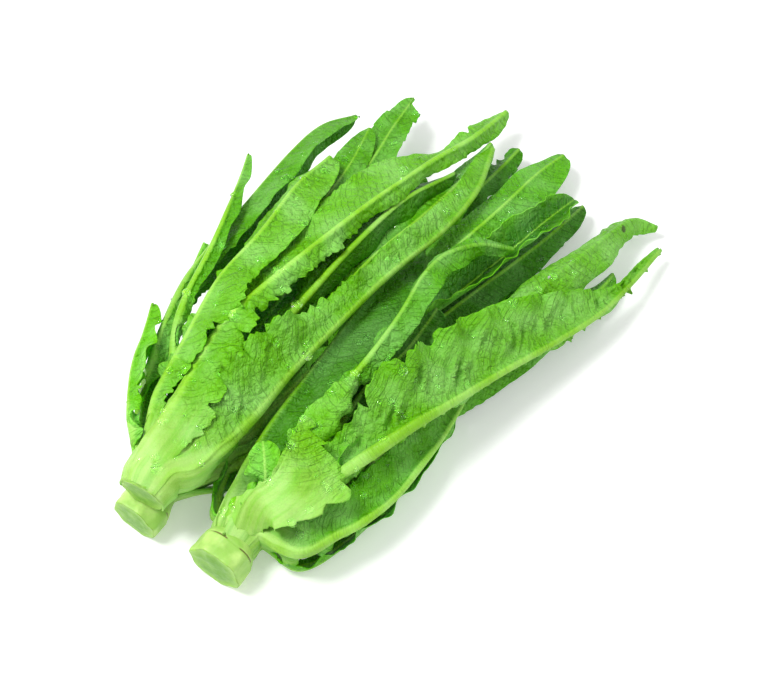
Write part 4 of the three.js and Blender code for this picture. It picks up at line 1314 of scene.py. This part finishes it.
def water_material():
    """Clear water. Light passes through a drop, so its shadow is faint."""
    material, tree, shader = new_material("water")
    connect(shader, {
        "Base Color": (0.95, 1.0, 0.95, 1),
        "Roughness": ramp(noise(surface_place(tree), 300.0), 0.3, 0.7, 0.0, 0.04),
        "Transmission Weight": 1.0,
        "IOR": 1.33,
    })
    clear = new_node(tree, "BsdfTransparent", {"Color": (0.74, 0.78, 0.74, 1)})
    in_shadow = Signal(new_node(tree, "LightPath"), "Is Shadow Ray")
    shown = new_node(tree, "MixShader", {0: in_shadow, 1: Signal(shader), 2: Signal(clear)})
    connect(tree.nodes["Material Output"], {"Surface": Signal(shown)})
    return material


def floor_material(colour):
    """Matt, pale floor that glows a little, so that shadows on it stay light."""
    material, _, shader = new_material("studio_floor")
    connect(shader, {
        "Base Color": (*colour, 1),
        "Roughness": 0.9,
        "Emission Color": (1, 1, 1, 1),
        "Emission Strength": 0.22,
    })
    return material


# Sizes and colours that can be changed


class GreensLeafSettings(bpy.types.PropertyGroup):
    blade: FloatProperty(
        name="Blade", description="Thickness of a leaf blade", default=0.0007, unit="LENGTH"
    )
    frill: FloatProperty(
        name="Frill", description="How strongly the leaf margins ruffle", default=1.0, min=0.0
    )
    quilting: FloatProperty(
        name="Quilting", description="How far blades bulge between side veins", default=1.0, min=0.0
    )
    rib: FloatVectorProperty(
        name="Rib",
        description="Colour of midribs and veins",
        default=linear((146, 208, 66))[:3],
        subtype="COLOR",
    )
    base: FloatVectorProperty(
        name="Base",
        description="Colour of the fleshy leaf bases",
        default=linear((168, 212, 106))[:3],
        subtype="COLOR",
    )


class GreensDropSettings(bpy.types.PropertyGroup):
    count: IntProperty(name="Drops", description="Number of water drops", default=210, min=0)
    largest: FloatProperty(
        name="Largest", description="Radius of the largest drop", default=0.0036, unit="LENGTH"
    )


class GreensStageSettings(bpy.types.PropertyGroup):
    floor: FloatVectorProperty(
        name="Floor", description="Colour of the floor", default=(0.9, 0.9, 0.9), subtype="COLOR"
    )
    light: FloatProperty(
        name="Light", description="Power of the main light in watts", default=18.5, min=0.0
    )


class GREENS_OT_leaves(bpy.types.Operator):
    """Lays the leaves from the table up, each as a fine, veined blade"""

    bl_idname = "greens.leaves"
    bl_label = "Leaves"

    def execute(self, context):
        settings = context.scene.greens_leaves
        table = TableTop()
        for entry in LEAVES:
            name = entry["name"]
            look = {**PLAIN_LOOK, **LOOKS.get(name, {})}
            points, faces, fields, leaf_map = leaf_form(entry, look, table, settings)
            material = leaf_material(look["tone"], settings)
            add_piece(
                "fine_" + name, points * MM, faces, material, name, fields, leaf_map
            )
        return {"FINISHED"}


STEM_SIDES = 120
SKIN_RINGS = ((0, 18, 46), (18.6, STEM_LENGTH, 36))  # from, to and how many, close near the cut
KNIFE_FLATS = (0.65, 1.25)  # angle from one flat that the knife left to the next
FLAT_DEPTH = (0.9, 0.98)  # and how deep they are, as shares of the radius
ROUND_SHARE = 1.03  # the round between flats
FLATS_FADE = (8, 16)  # distances from the cut between which the flats fade
SECOND_CUTS = 9  # the first flats give way to others over this length
STEM_INSET = 0.3  # how much thinner a fine stem is than its solid
CUT_SLANT = 0.6  # how far the cut is out of square at its edge
SLANT_REACH = 12  # and over what length the rings behind it straighten
EDGE_LOSS = 0.5  # how much thinner a stem is right at its cut
EDGE_ROUND = 0.5  # and over what length that fades
CUT_SHARES = (0.07, 0.18, 0.3, 0.42, 0.54, 0.66, 0.78, 0.9, 0.97)  # rings of the cut face
RING_SHARE = 0.78  # where the low ring of the cut face lies
RING_WIDTH = 0.08
CUT_DEPTH = 0.3  # depth of that ring and height of the middle
CUT_UNEVEN = 0.25
CUT_BUMPS = 9  # size of the bumps of the cut face
CUT_RADIUS = 12  # and the radius over which they are counted
SCAR_RISE = 12.2  # where a leaf was pulled off
SCAR_WIDTH = 0.55
SCAR_DEPTH = 0.35


def facets(draw, angle):
    """Outline of a trimmed stem as shares of its radius: flats left by a knife."""
    trimmed = np.full(angle.shape, ROUND_SHARE)
    place = draw.uniform(0, 1)
    while place < 2 * math.pi:
        flat = draw.uniform(*FLAT_DEPTH) / np.maximum(np.cos(angle - place), 0.2)
        trimmed = np.minimum(trimmed, flat)
        place += draw.uniform(*KNIFE_FLATS)
    return trimmed


def stem_rings(key, angle):
    """Rings of one cut stem: distance along it, radius, cut, ring and scar round each."""
    head = HEADS[key]
    draw = random.Random("stem_" + key)
    trimmed = facets(draw, angle)
    notch = facets(draw, angle)
    edge = stem_radius(head, 0) * trimmed
    slant = CUT_SLANT * np.cos(angle - draw.uniform(0, 2 * math.pi))
    # from the middle of the cut face outward
    for share in CUT_SHARES:
        ring_dip = CUT_DEPTH * math.exp(-(((share - RING_SHARE) / RING_WIDTH) ** 2))
        dip = ring_dip - CUT_DEPTH * (1 - share**2)
        x, y = CUT_RADIUS * share * np.cos(angle), CUT_RADIUS * share * np.sin(angle)
        uneven = CUT_UNEVEN * ripple(x, y, CUT_BUMPS, random.Random(key))
        yield dip + slant * share + uneven, edge * share, 1.0, share, 0.0
    # then along the skin
    for rise in np.concatenate([np.linspace(*rings) for rings in SKIN_RINGS]):
        share = ease(*FLATS_FADE, rise)
        later = ease(0, SECOND_CUTS, rise)
        shape = (trimmed * (1 - later) + notch * later) * (1 - share) + share
        radius = stem_radius(head, rise) * shape - STEM_INSET
        # the scar wanders round the stem and shows on one side of it
        line = SCAR_RISE + 0.6 * np.sin(angle + 1.1) + 0.4 * np.sin(3 * angle)
        scar = np.exp(-(((rise - line) / SCAR_WIDTH) ** 2))
        radius = radius - SCAR_DEPTH * scar - EDGE_LOSS * math.exp(-rise / EDGE_ROUND)
        shown = scar * np.clip(np.cos(angle + 0.5) * 1.4, 0, 1)
        level = rise + slant * (1 - ease(0, SLANT_REACH, rise))
        yield level, radius, 1.0 if rise == 0 else 0.0, 1.0, shown


def stem_form(key):
    """Vertices, faces and fields of one cut stem."""
    along, left, up = head_frame(HEADS[key])
    angle = np.linspace(0, 2 * math.pi, STEM_SIDES, endpoint=False)
    out = up * np.cos(angle)[:, None] + left * np.sin(angle)[:, None]
    rings = list(stem_rings(key, angle))
    vertices = []
    for rise, radius, *_ in rings:
        point = np.array(HEADS[key]["cut"]) + along * rise[:, None] + out * radius[:, None]
        point[:, 2] = np.maximum(point[:, 2], 0.0)
        vertices.append(point)
    index = np.arange(len(rings) * STEM_SIDES).reshape(-1, STEM_SIDES)
    after = np.roll(index, -1, axis=1)
    faces = np.stack([after[:-1], after[1:], index[1:], index[:-1]], -1).reshape(-1, 4).tolist()
    faces.append(index[0].tolist()[::-1])
    faces.append(index[-1].tolist())
    fields = {
        name: np.concatenate([np.broadcast_to(ring[place], STEM_SIDES) for ring in rings])
        for place, name in ((2, "cut"), (3, "ring"), (4, "scar"))
    }
    return np.concatenate(vertices), faces, fields


class GREENS_OT_stems(bpy.types.Operator):
    """Turns the three cut stems, with their leaf scars and cut faces"""

    bl_idname = "greens.stems"
    bl_label = "Cut stems"

    def execute(self, context):
        material = stem_material()
        for key in HEADS:
            points, faces, fields = stem_form(key)
            name = "butt_" + key
            add_piece("fine_" + name, points * MM, faces, material, name, fields)
        return {"FINISHED"}


DROP_SIDES = 14
DROP_RINGS = 5
DROP_LEAST = 0.36  # radius of the smallest drop, as a share of the largest
DROP_FLAT = (0.45, 0.65)  # height of a drop, as a share of its radius
DROP_STRETCH = (0.85, 1.25)
DROP_SINK = 0.1  # how far a drop sinks into its leaf, as a share of its radius
DROP_TRIES = 12  # places tried for each drop
DROP_LEVEL = 0.75  # upward part of a leaf's normal where a drop still holds
DROP_FIELD = {"x": -0.165, "length": 0.3, "half_width": 0.1, "top": 0.3}  # in metres


def add_drop(vertices, faces, spot, turn, radius, draw):
    """Adds one drop: a low dome whose foot sinks a little into the leaf."""
    first = len(vertices)
    flat = draw.uniform(*DROP_FLAT)
    stretch = draw.uniform(*DROP_STRETCH)
    heading = draw.uniform(0, math.pi)
    for ring in range(DROP_RINGS):
        lean = math.pi / 2 * ring / DROP_RINGS
        for side in range(DROP_SIDES):
            angle = 2 * math.pi * side / DROP_SIDES
            x = math.cos(angle) * stretch
            y = math.sin(angle)
            place = (
                radius * math.cos(lean) * (x * math.cos(heading) - y * math.sin(heading)),
                radius * math.cos(lean) * (x * math.sin(heading) + y * math.cos(heading)),
                radius * flat * math.sin(lean) - DROP_SINK * radius,
            )
            vertices.append(tuple(spot + turn @ Vector(place)))
    vertices.append(tuple(spot + turn @ Vector((0, 0, radius * flat - DROP_SINK * radius))))
    top = len(vertices) - 1
    for ring in range(DROP_RINGS - 1):
        for side in range(DROP_SIDES):
            a = first + ring * DROP_SIDES + side
            b = first + ring * DROP_SIDES + (side + 1) % DROP_SIDES
            faces.append((a, b, b + DROP_SIDES, a + DROP_SIDES))
    last = top - DROP_SIDES
    for side in range(DROP_SIDES):
        faces.append((last + side, last + (side + 1) % DROP_SIDES, top))
    faces.append(tuple(first + side for side in reversed(range(DROP_SIDES))))


class GREENS_OT_drops(bpy.types.Operator):
    """Sets water drops on the upper sides of the leaves"""

    bl_idname = "greens.drops"
    bl_label = "Water drops"

    def execute(self, context):
        settings = context.scene.greens_drops
        draw = random.Random("drops")
        depsgraph = context.evaluated_depsgraph_get()
        vertices, faces = [], []
        placed = 0
        for _ in range(settings.count * DROP_TRIES):
            if placed >= settings.count:
                break
            # most drops lie on the lower, fleshy half of the bunch
            x = DROP_FIELD["x"] + DROP_FIELD["length"] * draw.random() ** 1.5
            y = draw.uniform(-DROP_FIELD["half_width"], DROP_FIELD["half_width"])
            hit, spot, normal, _, target, _ = context.scene.ray_cast(
                depsgraph, Vector((x, y, DROP_FIELD["top"])), Vector((0, 0, -1))
            )
            if not hit or not target.name.startswith("fine_leaf") or normal.z < DROP_LEVEL:
                continue
            share = DROP_LEAST + (1 - DROP_LEAST) * draw.random() ** 2.2
            turn = normal.to_track_quat("Z", "Y")
            add_drop(vertices, faces, spot, turn, settings.largest * share, draw)
            placed += 1
        if not placed:
            raise RuntimeError("no drop found a leaf to lie on")
        add_piece("water_drops", vertices, faces, water_material())
        return {"FINISHED"}


# Where the photograph was taken from
CAMERA_TARGET = (-0.0005, -0.030, 0.025)
CAMERA_DISTANCE = 1.15
CAMERA_LENS = 95.8
CAMERA_SENSOR = 36
CAMERA_AZIMUTH = -48
CAMERA_ELEVATION = 57

# Floor and lights, in metres: a light's place, its size and its share of the main light's power
FLOOR_REACH = 3.0
SKY_STRENGTH = 0.61
LIGHTS = {
    "key_light": ((-0.5, 0.45, 1.4), 0.5, 1.0),
    "fill_light": ((0.9, -0.9, 1.0), 1.4, 0.3),
}


def aim_from(item, direction):
    """Turns a light or a camera so that it looks from a direction."""
    item.rotation_mode = "QUATERNION"
    item.rotation_quaternion = direction.to_track_quat("Z", "Y")


class GREENS_OT_stage(bpy.types.Operator):
    """Sets the pale floor, the soft lights and the camera"""

    bl_idname = "greens.stage"
    bl_label = "Stage"

    def execute(self, context):
        settings = context.scene.greens_stage
        scene = context.scene
        mesh = bpy.data.meshes.new("floor")
        corners = [(-1, -1), (1, -1), (1, 1), (-1, 1)]
        mesh.from_pydata([(x * FLOOR_REACH, y * FLOOR_REACH, 0) for x, y in corners], [], [range(4)])
        mesh.materials.append(floor_material(settings.floor))
        floor = bpy.data.objects.new("floor", mesh)
        scene.collection.objects.link(floor)

        scene.world = bpy.data.worlds.new("studio")
        scene.world.use_nodes = True
        sky = {"Color": (1, 1, 1, 1), "Strength": SKY_STRENGTH}
        connect(scene.world.node_tree.nodes["Background"], sky)
        for name, (place, size, share) in LIGHTS.items():
            data = bpy.data.lights.new(name, "AREA")
            data.energy = settings.light * share
            data.size = size
            light = bpy.data.objects.new(name, data)
            light.location = place
            aim_from(light, light.location)
            scene.collection.objects.link(light)

        azimuth, elevation = math.radians(CAMERA_AZIMUTH), math.radians(CAMERA_ELEVATION)
        level = math.cos(elevation)
        back = Vector((math.sin(azimuth) * level, -math.cos(azimuth) * level, math.sin(elevation)))
        data = bpy.data.cameras.new("camera")
        data.lens = CAMERA_LENS
        data.sensor_width = CAMERA_SENSOR
        camera = bpy.data.objects.new("camera", data)
        camera.location = Vector(CAMERA_TARGET) + back * CAMERA_DISTANCE
        aim_from(camera, back)
        scene.collection.objects.link(camera)
        scene.camera = camera
        scene.view_settings.view_transform = "Standard"
        return {"FINISHED"}


class GREENS_PT_panel(bpy.types.Panel):
    """The bunch's pieces and their settings"""

    bl_idname = "GREENS_PT_panel"
    bl_label = "Leafy greens"
    bl_space_type = "VIEW_3D"
    bl_region_type = "UI"
    bl_category = "Greens"

    def draw(self, context):
        layout = self.layout
        for group, names in (
            (context.scene.greens_leaves, ("blade", "frill", "quilting", "rib", "base")),
            (context.scene.greens_drops, ("count", "largest")),
            (context.scene.greens_stage, ("floor", "light")),
        ):
            for name in names:
                layout.prop(group, name)
        for operator in OPERATORS:
            layout.operator(operator.bl_idname)


OPERATORS = (GREENS_OT_leaves, GREENS_OT_stems, GREENS_OT_drops, GREENS_OT_stage)
SETTINGS = {
    "greens_leaves": GreensLeafSettings,
    "greens_drops": GreensDropSettings,
    "greens_stage": GreensStageSettings,
}


def register():
    for group in (*SETTINGS.values(), *OPERATORS, GREENS_PT_panel):
        bpy.utils.register_class(group)
    for name, group in SETTINGS.items():
        setattr(bpy.types.Scene, name, PointerProperty(type=group))


def unregister():
    for name in SETTINGS:
        delattr(bpy.types.Scene, name)
    for group in (GREENS_PT_panel, *OPERATORS, *SETTINGS.values()):
        bpy.utils.unregister_class(group)


def main():
    register()
    bpy.ops.greens.leaves()
    bpy.ops.greens.stems()
    bpy.ops.greens.drops()
    bpy.ops.greens.stage()


if __name__ == "__main__":
    main()
